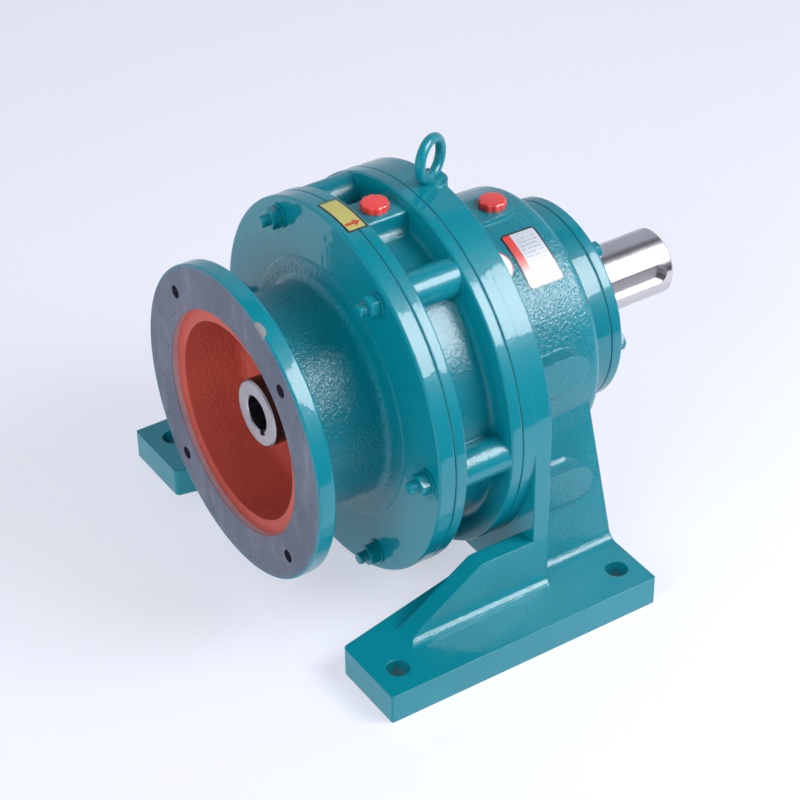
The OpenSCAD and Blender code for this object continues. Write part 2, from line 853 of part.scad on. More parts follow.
// Drum, rim and nose of the base casing, turned about the shaft
module drum_form() {
    revolve([
        [0, 0, 0], [rim_r, 0, 0.8], [rim_r, ring_front_t, 0], [plate_r - cut, ring_front_t, 0],
        [plate_r - cut, ring_t, 0], [drum_d1 / 2, ring_t, 10], [drum_d2 / 2, drum_l, 8],
        [nose_d / 2, drum_l, 5], [nose_d / 2, nose_end, 0.8], [0, nose_end, 0]]);
}

// Plate behind the rim whose sides drop straight to the feet
module foot_plate() {
    translate([0, 0, ring_front_t])
        linear_extrude(height = ring_t - ring_front_t)
            union() {
                circle(r = plate_r, $fn = 120);
                translate([0, -plate_r])
                    square([plate_r, 2 * plate_r]);
            }
}

module foot() {
    out_y = foot_w / 2;
    linear_extrude(height = foot_t)
        polygon(rounded([
            [foot_front_x, out_y, 2], [foot_front_x, foot_gap_front, 4], [x_plate, foot_gap_plate, 0],
            [x_ring_rear, foot_gap_rear, 0], [foot_rear_x, foot_gap_rear, 4], [foot_rear_x, out_y, 2]]));
}

// Bracket from the foot plate down the top of the foot, filleted onto the foot on both sides
module gusset() {
    slope_top_x = x_plate - gusset_level;
    slope_foot_x = slope_top_x - gusset_slope;
    toe_x = slope_foot_x - 20;
    inner_y = plate_r - gusset_t;
    inner_fillet = gusset_fillet / 2;
    intersection() {
        translate([0, plate_r + gusset_fillet + cut, 0])
            rotate([90, 0, 0])
                linear_extrude(height = gusset_t + 2 * gusset_fillet + 2 * cut)
                    polygon(rounded([
                        [x_ring_rear - cut, foot_t - cut, 0], [x_ring_rear - cut, gusset_top, 0],
                        [slope_top_x, gusset_top, 12], [slope_foot_x, foot_t, 10], [toe_x, foot_t - cut, 0]]));
        translate([toe_x - cut, 0, 0])
            rotate([90, 0, 90])
                linear_extrude(height = x_ring_rear - toe_x + 2 * cut)
                    polygon(rounded([
                        [plate_r + gusset_fillet, foot_t - 2 * cut, 0], [plate_r + gusset_fillet, foot_t, 0],
                        [plate_r, foot_t, gusset_fillet], [plate_r, gusset_top + cut, 0],
                        [inner_y, gusset_top + cut, 0], [inner_y, foot_t, inner_fillet],
                        [inner_y - inner_fillet, foot_t, 0], [inner_y - inner_fillet, foot_t - 2 * cut, 0]]));
    }
}

// Leaning wall from the foot up to the drum, filleted onto the foot
module side_wall() {
    top_y = wall_y - tan(wall_lean) * (wall_top_z - foot_t);
    root = 16;
    inner_y = wall_y - wall_t;
    into_drum = 8;
    translate([x_ring_rear - cut, 0, 0])
        rotate([90, 0, 90])
            linear_extrude(height = foot_rear_x - x_ring_rear + cut)
                polygon(rounded([
                    [inner_y - wall_fillet, foot_t - cut, 0], [wall_y + root, foot_t - cut, 0],
                    [wall_y + root, foot_t, 0], [wall_y, foot_t, wall_fillet], [top_y, wall_top_z, 0],
                    [top_y - wall_t - into_drum, wall_top_z, 0],
                    [inner_y, foot_t, wall_fillet], [inner_y - wall_fillet, foot_t, 0]]));
}

// Flat-faced pads on the sides of the drum and of the side walls
module side_pads() {
    drum_r = drum_d2 / 2;
    upper_top = upper_pad_z + side_pad_h / 2;
    lower_top = side_pad_h / 2 - lower_pad_z;
    wall_root = wall_y - tan(wall_lean) * (centre_h + lower_top - foot_t);
    side_pad(upper_pad_y, upper_pad_z, upper_pad_l, sqrt(drum_r * drum_r - upper_top * upper_top),
        asin(upper_top / drum_r));
    side_pad(lower_pad_y, -lower_pad_z, lower_pad_l, wall_root, wall_lean);
}

// One pad at height z above the shaft axis, on a surface that leans in from root_y at the pad's top
module side_pad(y, z, l, root_y, lean) {
    depth = y - root_y + 4;
    top_z = centre_h + z + side_pad_h / 2;
    fillet_l = side_pad_fillet * tan(45 - lean / 2) + 0.1;
    translate([x_ring_rear - cut, y, centre_h + z])
        rotate([90, 0, 0])
            linear_extrude(height = depth)
                pad_outline(base_face_x + l - x_ring_rear + cut, side_pad_h / 2);
    translate([x_ring_rear - cut, 0, 0])
        rotate([90, 0, 90])
            linear_extrude(height = base_face_x + l - x_ring_rear - side_pad_h / 2)
                polygon(rounded([
                    [y - cut, top_z - 4, 0], [y - cut, top_z, 0], [root_y, top_z, side_pad_fillet],
                    [root_y - fillet_l * sin(lean), top_z + fillet_l * cos(lean), 0],
                    [root_y - fillet_l, top_z, 0], [root_y - fillet_l, top_z - 4, 0]]));
}

module vent_pad() {
    half_w = vent_pad_w / 2;
    translate([x_ring_rear - cut, 0, vent_top - vent_pad_h])
        linear_extrude(height = vent_pad_h)
            pad_outline(vent_x + half_w - x_ring_rear + cut, half_w);
}

module base_casing() {
    color(enamel)
        difference() {
            union() {
                along_shaft(base_face_x) {
                    drum_form();
                    foot_plate();
                }
                mirrored_y() {
                    foot();
                    gusset();
                    side_wall();
                    side_pads();
                }
                vent_pad();
                translate([eye_x, 0, centre_h + rim_r - eye_boss_root])
                    cylinder(d = eye_boss_d, h = eye_seat - centre_h - rim_r + eye_boss_root);
            }
            along_shaft(base_face_x)
                base_bores();
            for (sx = [-1, 1], sy = [-1, 1])
                translate([sx * foot_pitch_x / 2, sy * foot_pitch_y / 2, 0])
                    bore(foot_bolt_d, foot_t);
            translate([eye_x, 0, eye_seat - eye_thread_l - hole_end])
                cylinder(d = eye_thread_d + 2 * fit_c, h = eye_thread_l + hole_end + cut);
            translate([vent_x, 0, vent_top - vent_thread_l - vent_pad_h])
                cylinder(d = plug_thread_d + 2 * fit_c, h = vent_thread_l + vent_pad_h + cut);
        }
}

// Bearing seats, oil spaces and threaded holes, measured from the base casing's front face
module base_bores() {
    front_seat = x_front_bearing - base_face_x;
    front_end = front_seat + front_bearing_w;
    rear_seat = x_rear_bearing - base_face_x;
    seat_wall = 8;
    space_r = drum_d2 / 2 - 20;
    translate([0, 0, -cut])
        cylinder(r = carrier_space_r, h = front_seat - 4 + cut);
    translate([0, 0, cut])
        cylinder(d = front_bearing_d + 2 * fit_c, h = front_end - cut);
    translate([0, 0, cut])
        cylinder(d = rear_bearing_d - 10, h = nose_end - 2 * cut);
    translate([0, 0, rear_seat])
        cylinder(d = rear_bearing_d + 2 * fit_c, h = nose_end);
    revolve([
        [0, front_end + seat_wall, 0], [space_r, front_end + seat_wall, 8],
        [space_r - 3, rear_seat - seat_wall, 8], [0, rear_seat - seat_wall, 0]]);
    on_circle(tie_r, tie_n, tie_first)
        translate([0, 0, -cut])
            cylinder(d = tie_d + 2 * fit_c, h = ring_t - 1);
    on_circle(out_cover_pcd / 2, cover_bolts_n, tie_first)
        translate([0, 0, nose_end - cover_bolt_grip - hole_end])
            cylinder(d = cover_bolt_d + 2 * fit_c, h = cover_bolt_grip + hole_end + cut);
}

module output_cover() {
    bore_r = output_seal_d / 2 - 6;
    spigot_l = rear_bearing_inset + gasket_t - 2 * side_c;
    color(enamel)
        along_shaft(x_out_cover)
            difference() {
                union() {
                    revolve([
                        [bore_r, 0, 0], [nose_d / 2, 0, 0.6], [nose_d / 2, out_cover_t, 2],
                        [bore_r, out_cover_t, 0]]);
                    translate([0, 0, -spigot_l])
                        ring(rear_bearing_d / 2, rear_bearing_d / 2 - 9, spigot_l + cut);
                }
                translate([0, 0, out_cover_t - output_seal_w])
                    cylinder(d = output_seal_d + 2 * fit_c, h = output_seal_w + cut);
                on_circle(out_cover_pcd / 2, cover_bolts_n, tie_first)
                    bore(cover_bolt_hole_d, out_cover_t);
            }
}

module output_cover_gasket() {
    color(paper)
        along_shaft(x_nose)
            difference() {
                ring(nose_d / 2 - gasket_inset, rear_bearing_d / 2 + fit_c, gasket_t);
                on_circle(out_cover_pcd / 2, cover_bolts_n, tie_first)
                    bore(cover_bolt_hole_d, gasket_t);
            }
}

module output_cover_bolts() {
    collar_h = 0.15 * cover_bolt_d;
    head_h = 0.65 * cover_bolt_d;
    shank_l = out_cover_t + gasket_t + cover_bolt_grip;
    color(enamel)
        along_shaft(x_cover_face)
            on_circle(out_cover_pcd / 2, cover_bolts_n, tie_first) {
                cylinder(d = 1.9 * cover_bolt_d, h = collar_h, $fn = 32);
                translate([0, 0, collar_h])
                    cylinder(r = 0.9 * cover_bolt_d, h = head_h, $fn = 6);
                translate([0, 0, -shank_l])
                    cylinder(d = cover_bolt_d, h = shank_l + collar_h, $fn = 32);
            }
}

module output_shaft() {
    front_r = front_bearing_bore / 2;
    rear_r = rear_bearing_bore / 2;
    collar_r = front_r + 5;
    body_r = rear_r + 2.5;
    end_r = out_shaft_d / 2;
    front_seat = x_front_bearing - x_carrier;
    front_end = front_seat + front_bearing_w;
    rear_seat = x_rear_bearing - x_carrier;
    rear_end = rear_seat + rear_bearing_w;
    land_end = x_cover_face - x_carrier + 1.5;
    shaft_l = x_shaft_end - x_carrier;
    tail_end = x_tail - x_carrier + tail_bearing_w;
    color(steel)
        along_shaft(x_carrier)
            difference() {
                // The turned shaft faces its keyway side, on the right of the reducer
                rotate(-90 - out_key_angle)
                    difference() {
                        revolve([
                            [0, 0, 0], [carrier_r, 0, 1], [carrier_r, carrier_t, 1], [collar_r, carrier_t, 4],
                            [collar_r, front_seat, 0], [front_r, front_seat, 0], [front_r, front_end, 0],
                            [body_r, front_end, 0], [body_r, rear_seat, 0], [rear_r, rear_seat, 0],
                            [rear_r, rear_end, 0], [output_seal_bore / 2, rear_end, 0],
                            [output_seal_bore / 2, land_end, 0], [end_r, land_end, 0],
                            [end_r, shaft_l - shaft_chamfer, 0], [end_r - shaft_chamfer, shaft_l, 0],
                            [0, shaft_l, 0]]);
                        output_keyway(shaft_l);
                    }
                translate([0, 0, -cut])
                    cylinder(d = tail_bearing_d + 2 * fit_c, h = tail_end + cut);
                translate([0, 0, cut])
                    cylinder(d = tail_bearing_d - 16, h = tail_end + 4);
                on_circle(out_pcd / 2, out_pins_n)
                    bore(out_pin_d + 2 * fit_c, carrier_t);
            }
}

// Round-ended slot milled into the shaft end
module output_keyway(shaft_l) {
    end_gap = 8;
    bottom_r = out_shaft_d / 2 - out_key_depth;
    translate([bottom_r, 0, shaft_l - end_gap])
        rotate([0, 90, 0])
            linear_extrude(height = out_key_depth + 5)
                union() {
                    translate([out_key_w / 2, -out_key_w / 2])
                        square([out_key_l - out_key_w, out_key_w]);
                    translate([out_key_w / 2, 0])
                        circle(d = out_key_w);
                    translate([out_key_l - out_key_w / 2, 0])
                        circle(d = out_key_w);
                }
}

module output_pins() {
    start_x = x_ecc - pin_lead;
    color(steel)
        along_shaft(start_x)
            on_circle(out_pcd / 2, out_pins_n)
                cylinder(d = out_pin_d, h = x_carrier + carrier_t - 0.5 - start_x, $fn = 48);
}

module output_rollers() {
    start_x = x_ecc - roller_lead;
    color(dark_steel)
        along_shaft(start_x)
            on_circle(out_pcd / 2, out_pins_n)
                ring(out_roller_d / 2, out_pin_d / 2 + fit_c, x_carrier - side_c - start_x, $fn = 48);
}

// Studs screwed into the base casing, with washers and nuts against the motor cover
module tie_studs() {
    start_x = tie_seat_x - stud_out;
    color(enamel)
        along_shaft(start_x)
            on_circle(tie_r, tie_n, tie_first)
                cylinder(d = tie_d, h = x_ring_rear - 3 - start_x, $fn = 32);
}

module tie_nuts() {
    color(enamel)
        along_shaft(tie_seat_x - washer_t - nut_h)
            on_circle(tie_r, tie_n, tie_first)
                difference() {
                    cylinder(r = nut_r, h = nut_h, $fn = 6);
                    bore(tie_d + 2 * fit_c, nut_h);
                }
}

module tie_washers() {
    color(enamel)
        along_shaft(tie_seat_x - washer_t)
            on_circle(tie_r, tie_n, tie_first)
                ring(tie_d, tie_d / 2 + 0.5, washer_t, $fn = 32);
}

// Ring that stands in a flat collar on its threaded shank
module eyebolt() {
    mid_r = (eye_d + eye_bar_d) / 2;
    collar_h = 3;
    color(enamel)
        translate([eye_x, 0, eye_seat]) {
            difference() {
                rotate([90, 0, eye_turn])
                    translate([0, eye_rise, 0])
                        rotate_extrude($fn = 64)
                            translate([mid_r, 0])
                                circle(d = eye_bar_d, $fn = 24);
                translate([-mid_r, -mid_r, -mid_r])
                    cube([2 * mid_r, 2 * mid_r, mid_r]);
            }
            cylinder(d = eye_collar_d, h = collar_h);
            translate([0, 0, -eye_thread_l])
                cylinder(d = eye_thread_d, h = eye_thread_l + cut);
        }
}

// Moulded plug with a ten-sided head
module plug(thread_l) {
    step_h = 1.5;
    color(plug_red) {
        cylinder(d = plug_d, h = plug_h - step_h, $fn = 10);
        translate([0, 0, plug_h - step_h])
            cylinder(d = plug_d - 2, h = step_h, $fn = 10);
        translate([0, 0, -thread_l])
            cylinder(d = plug_thread_d, h = thread_l + cut);
    }
}

module fill_plug() {
    translate([x_mid, 0, centre_h + fill_top])
        plug(fill_thread_l);
}

module vent_plug() {
    translate([vent_x, 0, vent_top])
        plug(vent_thread_l);
}

motor_cover();
cover_gasket();
pin_housing();
ring_pins();
ring_pin_sleeves();
base_gasket();
base_casing();
output_cover();
output_cover_gasket();
output_cover_bolts();
output_oil_seal();
tie_studs();
tie_nuts();
tie_washers();
eyebolt();
fill_plug();
vent_plug();
input_shaft();
eccentric_sleeve();
eccentric_key();
eccentric_rollers();
eccentric_cages();
front_spacer();
tail_spacer();
input_oil_seal();
input_circlip();
input_bearing_outer();
input_bearing_balls();
input_bearing_inner();
tail_bearing_outer();
tail_bearing_balls();
tail_bearing_inner();
cycloid_disc_a();
cycloid_disc_b();
disc_spacer_ring();
output_shaft();
output_pins();
output_rollers();
front_bearing_outer();
front_bearing_balls();
front_bearing_inner();
rear_bearing_outer();
rear_bearing_balls();
rear_bearing_inner();
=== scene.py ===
"""Looks of the foot-mounted cycloidal reducer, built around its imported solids. Metres, +Z up, +X out of
the output shaft."""
import json
import math

import bmesh
import bpy
from mathutils import Matrix, Vector


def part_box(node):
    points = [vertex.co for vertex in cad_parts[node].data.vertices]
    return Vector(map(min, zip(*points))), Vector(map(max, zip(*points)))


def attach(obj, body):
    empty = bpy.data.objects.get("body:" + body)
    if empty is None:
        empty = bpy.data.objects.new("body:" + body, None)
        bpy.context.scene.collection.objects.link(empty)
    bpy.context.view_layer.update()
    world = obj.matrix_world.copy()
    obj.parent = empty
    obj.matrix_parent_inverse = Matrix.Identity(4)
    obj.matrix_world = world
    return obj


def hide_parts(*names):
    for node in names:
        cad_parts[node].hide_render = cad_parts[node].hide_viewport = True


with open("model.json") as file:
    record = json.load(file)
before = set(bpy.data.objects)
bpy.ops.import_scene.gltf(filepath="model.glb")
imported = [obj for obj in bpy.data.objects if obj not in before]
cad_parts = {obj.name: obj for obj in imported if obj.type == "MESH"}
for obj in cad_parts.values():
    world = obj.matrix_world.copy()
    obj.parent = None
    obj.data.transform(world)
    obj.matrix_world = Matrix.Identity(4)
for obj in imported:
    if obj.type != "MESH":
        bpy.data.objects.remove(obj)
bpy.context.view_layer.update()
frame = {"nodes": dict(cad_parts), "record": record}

MM = 0.001
mounts = {m["name"]: m for m in frame["record"]["mounts"]}
axis_z = mounts["output_shaft"]["pos_m"][2]
motor_x = mounts["motor_face"]["pos_m"][0]
bore_r = mounts["input_bore"]["dims"]["r_mm"] * MM
spigot_r = mounts["motor_spigot"]["dims"]["r_mm"] * MM
spigot_depth = mounts["motor_spigot"]["dims"]["length_mm"] * MM
motor_bolt_pitch = mounts["motor_bolts"]["dims"]["pcd_mm"] / 2 * MM
motor_bolt_r = mounts["motor_bolts"]["dims"]["hole_r_mm"] * MM

_, rim_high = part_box("pin_housing")
cover_low, cover_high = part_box("motor_cover")
_, nose_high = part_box("output_cover")
hub_low, hub_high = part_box("input_shaft")
rim_r = (cover_high.y - cover_low.y) / 2

# Base casing: front face behind the paper joint, foot, plate and drum
base_x = rim_high.x + 0.6 * MM
foot_top = 25 * MM
plate_rear = base_x + 25 * MM
drum_end = base_x + 108 * MM
drum_front_r = 107 * MM
drum_rear_r = 104 * MM

# Motor cover: flange, neck, cast band at the neck's root, and the end of the primed pocket
flange_r = 125 * MM
flange_t = 15 * MM
neck_r = 86 * MM
band_r = 104 * MM
pocket_end = motor_x + 62 * MM

# Tie studs and the angle by which their pattern is turned about the shaft
stud_r = 5 * MM
tie_turn = math.radians(1.8)

INK = (0.006, 0.012, 0.014)


# ---------------------------------------------------------------- material nodes

def material(name, color, rough, metal=0.0):
    """A material with one Principled shader; returns it with its tree and shader."""
    made = bpy.data.materials.new(name)
    made.use_nodes = True
    tree = made.node_tree
    shader = tree.nodes["Principled BSDF"]
    shader.inputs["Base Color"].default_value = (*color, 1.0)
    shader.inputs["Roughness"].default_value = rough
    shader.inputs["Metallic"].default_value = metal
    return made, tree, shader


def put(tree, value, socket):
    """Links an output to a socket, or sets a plain number or colour on it."""
    if isinstance(value, bpy.types.NodeSocket):
        tree.links.new(value, socket)
    elif isinstance(value, tuple) and len(value) == 3 and socket.type == "RGBA":
        socket.default_value = (*value, 1.0)
    else:
        socket.default_value = value


def place(tree):
    """Position in the object's own frame."""
    return tree.nodes.new("ShaderNodeTexCoord").outputs["Object"]


def calc(tree, op, a, b=0.0, clamp=False):
    """One Math node."""
    node = tree.nodes.new("ShaderNodeMath")
    node.operation = op
    node.use_clamp = clamp
    put(tree, a, node.inputs[0])
    put(tree, b, node.inputs[1])
    return node.outputs[0]


def times(tree, *factors):
    """Product of masks."""
    result = factors[0]
    for factor in factors[1:]:
        result = calc(tree, "MULTIPLY", result, factor)
    return result


def plus(tree, *terms):
    """Sum of masks, kept between 0 and 1."""
    result = terms[0]
    for term in terms[1:]:
        result = calc(tree, "ADD", result, term, clamp=True)
    return result


def less(tree, mask):
    """The other side of a mask."""
    return calc(tree, "SUBTRACT", 1.0, mask, clamp=True)


def hypotenuse(tree, a, b):
    """Length of two legs at right angles."""
    return calc(tree, "SQRT", calc(tree, "ADD", times(tree, a, a), times(tree, b, b)))


def split(tree, vector):
    """The three parts of a vector."""
    node = tree.nodes.new("ShaderNodeSeparateXYZ")
    put(tree, vector, node.inputs[0])
    return node.outputs


def shaft_radius(tree, where):
    """Distance from the shaft axis."""
    part = split(tree, where)
    height = calc(tree, "SUBTRACT", part[2], axis_z)
    return hypotenuse(tree, part[1], height)


def shaft_angle(tree, where):
    """Angle about the shaft, 0 on the right side and growing upwards, in radians."""
    part = split(tree, where)
    height = calc(tree, "SUBTRACT", part[2], axis_z)
    return calc(tree, "ARCTAN2", height, calc(tree, "MULTIPLY", part[1], -1.0))


def step(tree, value, edge, soft):
    """0 below the edge and 1 above it, over a width of soft."""
    node = tree.nodes.new("ShaderNodeMapRange")
    put(tree, value, node.inputs["Value"])
    node.inputs["From Min"].default_value = edge - soft / 2
    node.inputs["From Max"].default_value = edge + soft / 2
    return node.outputs["Result"]


def band(tree, value, low, high, soft):
    """1 where value lies between low and high, with soft edges."""
    past_low = step(tree, value, low, soft)
    past_high = step(tree, value, high, soft)
    return calc(tree, "SUBTRACT", past_low, past_high, clamp=True)


def noise(tree, vector, scale, detail=2.0, rough=0.5, distort=0.0):
    """Smooth noise from 0 to 1; scale is in waves for each metre."""
    node = tree.nodes.new("ShaderNodeTexNoise")
    put(tree, vector, node.inputs["Vector"])
    node.inputs["Scale"].default_value = scale
    node.inputs["Detail"].default_value = detail
    node.inputs["Roughness"].default_value = rough
    node.inputs["Distortion"].default_value = distort
    return node.outputs["Fac"]


def jittered(tree, value, where, scale, detail, amount):
    """A length made ragged by noise that adds up to amount."""
    return calc(tree, "ADD", value, calc(tree, "MULTIPLY", noise(tree, where, scale, detail), amount))


def stretched(tree, vector, scale):
    """Coordinates stretched by a scale on each axis."""
    node = tree.nodes.new("ShaderNodeMapping")
    put(tree, vector, node.inputs["Vector"])
    node.inputs["Scale"].default_value = scale
    return node.outputs[0]


def blend(tree, fac, a, b):
    """Colour a where fac is 0 and b where it is 1."""
    node = tree.nodes.new("ShaderNodeMix")
    node.data_type = "RGBA"
    put(tree, fac, node.inputs[0])
    put(tree, a, node.inputs[6])
    put(tree, b, node.inputs[7])
    return node.outputs[2]


def between(tree, fac, a, b):
    """Number a where fac is 0 and b where it is 1."""
    node = tree.nodes.new("ShaderNodeMix")
    put(tree, fac, node.inputs[0])
    put(tree, a, node.inputs[2])
    put(tree, b, node.inputs[3])
    return node.outputs[0]


def either(tree, fac, a, b):
    """Normal a where fac is 0 and b where it is 1."""
    node = tree.nodes.new("ShaderNodeMix")
    node.data_type = "VECTOR"
    put(tree, fac, node.inputs[0])
    put(tree, a, node.inputs[4])
    put(tree, b, node.inputs[5])
    return node.outputs[1]


def relief(tree, height, depth, normal=None, strength=1.0):
    """Bump from a height of 0 to 1 that stands for depth metres."""
    node = tree.nodes.new("ShaderNodeBump")
    put(tree, height, node.inputs["Height"])
    put(tree, strength, node.inputs["Strength"])
    node.inputs["Distance"].default_value = depth
    if normal is not None:
        put(tree, normal, node.inputs["Normal"])
    return node.outputs["Normal"]


def soft_edges(tree, radius):
    """Normals rounded over each edge by a radius."""
    node = tree.nodes.new("ShaderNodeBevel")
    node.samples = 8
    node.inputs["Radius"].default_value = radius
    return node.outputs["Normal"]


def face_with(tree, shader, normal):
    """Gives the shader and its clear coat one normal."""
    put(tree, normal, shader.inputs["Normal"])
    put(tree, normal, shader.inputs["Coat Normal"])


# ---------------------------------------------------------------- enamel

TEAL_DEEP = (0.0003, 0.178, 0.226)
TEAL_LIGHT = (0.0005, 0.240, 0.300)
GLOSS = 0.8


def gloss_coat(shader, ior=1.5, rough=0.03):
    """Clear, glossy top layer over a matt colour."""
    shader.inputs["Coat Weight"].default_value = GLOSS
    shader.inputs["Coat IOR"].default_value = ior
    shader.inputs["Coat Roughness"].default_value = rough
    shader.inputs["Specular IOR Level"].default_value = 0.06


def teal_tone(tree, where):
    """Enamel colour with slow changes of film thickness."""
    slow = noise(tree, where, 14.0, 3.0)
    return blend(tree, slow, TEAL_DEEP, TEAL_LIGHT)


def enamel_relief(tree, where, rough_mask, edge_radius):
    """Sagged paint over cast iron: long waves everywhere and sand grain where the mask is 1."""
    rounded = soft_edges(tree, edge_radius)
    waves = relief(tree, noise(tree, where, 30.0, 1.0), 0.0006, rounded)
    sags = relief(tree, noise(tree, where, 150.0, 1.0), 0.00014, waves)
    grain = noise(tree, where, 400.0, 2.0, 0.6, 0.4)
    depth = between(tree, rough_mask, 0.03, 1.0)
    return relief(tree, grain, 0.0010, sags, depth)


def enamel(name, mask_of, edge_radius=2.2 * MM):
    """Glossy enamel; mask_of gives where the casting under it is rough."""
    made, tree, shader = material(name, TEAL_LIGHT, 0.4)
    where = place(tree)
    put(tree, teal_tone(tree, where), shader.inputs["Base Color"])
    face_with(tree, shader, enamel_relief(tree, where, mask_of(tree, where), edge_radius))
    gloss_coat(shader)
    return made


def smooth_all(tree, where):
    """Turned and filled surfaces only."""
    return 0.0


def fastener_skin(tree, where):
    """A little grain all over."""
    return 0.12


def inside_rims(tree, where):
    """Nearly smooth, with a grainy groove between the turned rims."""
    rims = step(tree, shaft_radius(tree, where), rim_r - 2.2 * MM, 1.0 * MM)
    return times(tree, less(tree, rims), 0.30)


def casting_mask(tree, where):
    """Rough drum, walls and brackets; smooth rim, plate, foot sides and nose."""
    part = split(tree, where)
    radius = shaft_radius(tree, where)
    drum = times(tree, step(tree, part[0], plate_rear + 1 * MM, 1 * MM),
                 less(tree, step(tree, radius, rim_r - 38 * MM, 2 * MM)),
                 less(tree, step(tree, part[0], drum_end + 3 * MM, 2 * MM)), 0.60)
    bracket_top = 72 * MM
    low = less(tree, step(tree, part[2], bracket_top, 2 * MM))
    front = less(tree, step(tree, part[0], base_x + 10 * MM, 4 * MM))
    above_foot = step(tree, part[2], foot_top + 1.2 * MM, 1 * MM)
    bracket = times(tree, low, front, above_foot, 0.34)
    wall = times(tree, step(tree, part[0], plate_rear + 1 * MM, 1 * MM), above_foot,
                 less(tree, drum), 0.45)
    wall = times(tree, wall, less(tree, step(tree, part[0], drum_end, 2 * MM)))
    patches = step(tree, noise(tree, where, 16.0, 3.0), 0.5, 0.16)
    foot_edge = band(tree, part[2], foot_top - 1 * MM, foot_top + 1.2 * MM, 0.4 * MM)
    on_foot = times(tree, foot_edge, patches, 0.4)
    return plus(tree, drum, bracket, wall, on_foot)


# ---------------------------------------------------------------- motor cover

IRON_DARK = (0.105, 0.125, 0.170)
IRON_LIGHT = (0.165, 0.185, 0.235)
OVERSPRAY = (0.085, 0.250, 0.340)
PRIMER_DARK = (0.300, 0.046, 0.034)
PRIMER_LIGHT = (0.520, 0.092, 0.062)


def flange_masks(tree, where):
    """Bare face, bright recess wall and primed inside of the motor cover."""
    radius = shaft_radius(tree, where)
    along = split(tree, where)[0]
    face = less(tree, step(tree, along, motor_x + 0.5 * MM, 0.2 * MM))
    ragged = jittered(tree, radius, where, 130.0, 4.0, 2.6 * MM)
    inside_edge = less(tree, step(tree, ragged, flange_r + 0.2 * MM, 0.5 * MM))
    bare = times(tree, face, inside_edge)
    beyond = step(tree, along, motor_x + spigot_depth - 0.3 * MM, 0.1 * MM)
    wall = times(tree, step(tree, along, motor_x + 0.2 * MM, 0.1 * MM), less(tree, beyond),
                 less(tree, step(tree, radius, spigot_r + 1.0 * MM, 0.2 * MM)))
    primed = times(tree, beyond, less(tree, step(tree, radius, spigot_r + 0.4 * MM, 0.2 * MM)),
                   less(tree, step(tree, along, pocket_end + 1 * MM, 0.2 * MM)))
    outside_neck = step(tree, radius, neck_r - 3.5 * MM, 1 * MM)
    behind_flange = step(tree, along, motor_x + 9 * MM, 1 * MM)
    primed = times(tree, primed, less(tree, times(tree, outside_neck, behind_flange)))
    return bare, wall, primed


def chip(tree, where):
    """Paint knocked off the flange's edge."""
    turned = calc(tree, "SUBTRACT", shaft_angle(tree, where), math.radians(66))
    across = calc(tree, "MULTIPLY", turned, flange_r)
    along = calc(tree, "SUBTRACT", split(tree, where)[0], motor_x)
    squares = calc(tree, "ADD", times(tree, across, across, 0.35), times(tree, along, along))
    ragged = jittered(tree, calc(tree, "SQRT", squares), where, 300.0, 3.0, 3.0 * MM)
    outer = step(tree, shaft_radius(tree, where), flange_r - 4 * MM, 0.4 * MM)
    return times(tree, less(tree, step(tree, ragged, 5.6 * MM, 0.4 * MM)), outer)


def bolt_hole_shade(tree, where):
    """Threaded holes in the flange: bare thread with painted shade, as deep as the flange is thick."""
    angle = calc(tree, "SUBTRACT", shaft_angle(tree, where), math.radians(45))
    turn = calc(tree, "PINGPONG", angle, math.pi / 4)
    quarter = calc(tree, "MULTIPLY", turn, motor_bolt_pitch)
    away = calc(tree, "SUBTRACT", shaft_radius(tree, where), motor_bolt_pitch)
    reach = hypotenuse(tree, quarter, away)
    bore = less(tree, step(tree, reach, motor_bolt_r + 0.25 * MM, 0.3 * MM))
    behind_flange = step(tree, split(tree, where)[0], motor_x + flange_t + 1 * MM, 1 * MM)
    return times(tree, bore, less(tree, behind_flange))


def bare_iron(tree, where):
    """Milled cast iron with smudges, stains and pores."""
    stain = noise(tree, where, 18.0, 4.0, 0.6)
    iron = blend(tree, step(tree, stain, 0.5, 0.35), IRON_DARK, IRON_LIGHT)
    smear = noise(tree, stretched(tree, where, (1.0, 60.0, 24.0)), 1.0, 4.0, 0.6)
    iron = blend(tree, times(tree, step(tree, smear, 0.6, 0.2), 0.35), iron, (0.30, 0.30, 0.35))
    pores = step(tree, noise(tree, where, 260.0, 2.0), 0.70, 0.04)
    return blend(tree, times(tree, pores, 0.7), iron, (0.045, 0.06, 0.08))


def pocket_primer(tree, where):
    """Red primer, cloudy, with painted shade that darkens it towards the bottom."""
    # Painted shade: the primer is blended darker lower down the pocket.
    painted_lit_top = step(tree, split(tree, where)[2], axis_z - 60 * MM, 110 * MM)
    cloudy = times(tree, noise(tree, where, 35.0, 4.0), 0.5)
    return blend(tree, plus(tree, times(tree, painted_lit_top, 0.6), cloudy), PRIMER_DARK, PRIMER_LIGHT)


def misted_iron(tree, where):
    """Bare iron with enamel overspray towards the flange's edge."""
    mist = jittered(tree, shaft_radius(tree, where), where, 90.0, 4.0, 7 * MM)
    cover = times(tree, step(tree, mist, flange_r + 1.5 * MM, 6 * MM), 0.75)
    return blend(tree, cover, bare_iron(tree, where), OVERSPRAY)


def cover_color(tree, where, bare, wall, primed):
    """Colour of the motor cover, zone by zone."""
    wall_tone = blend(tree, noise(tree, where, 60.0, 3.0), (0.34, 0.30, 0.34), (0.62, 0.57, 0.62))
    color = blend(tree, bare, teal_tone(tree, where), misted_iron(tree, where))
    color = blend(tree, wall, color, wall_tone)
    color = blend(tree, primed, color, pocket_primer(tree, where))
    # Painted shade inside the motor bolt holes, over the bare thread.
    color = blend(tree, bolt_hole_shade(tree, where), color, (0.035, 0.030, 0.050))
    return blend(tree, chip(tree, where), color, (0.27, 0.26, 0.27))


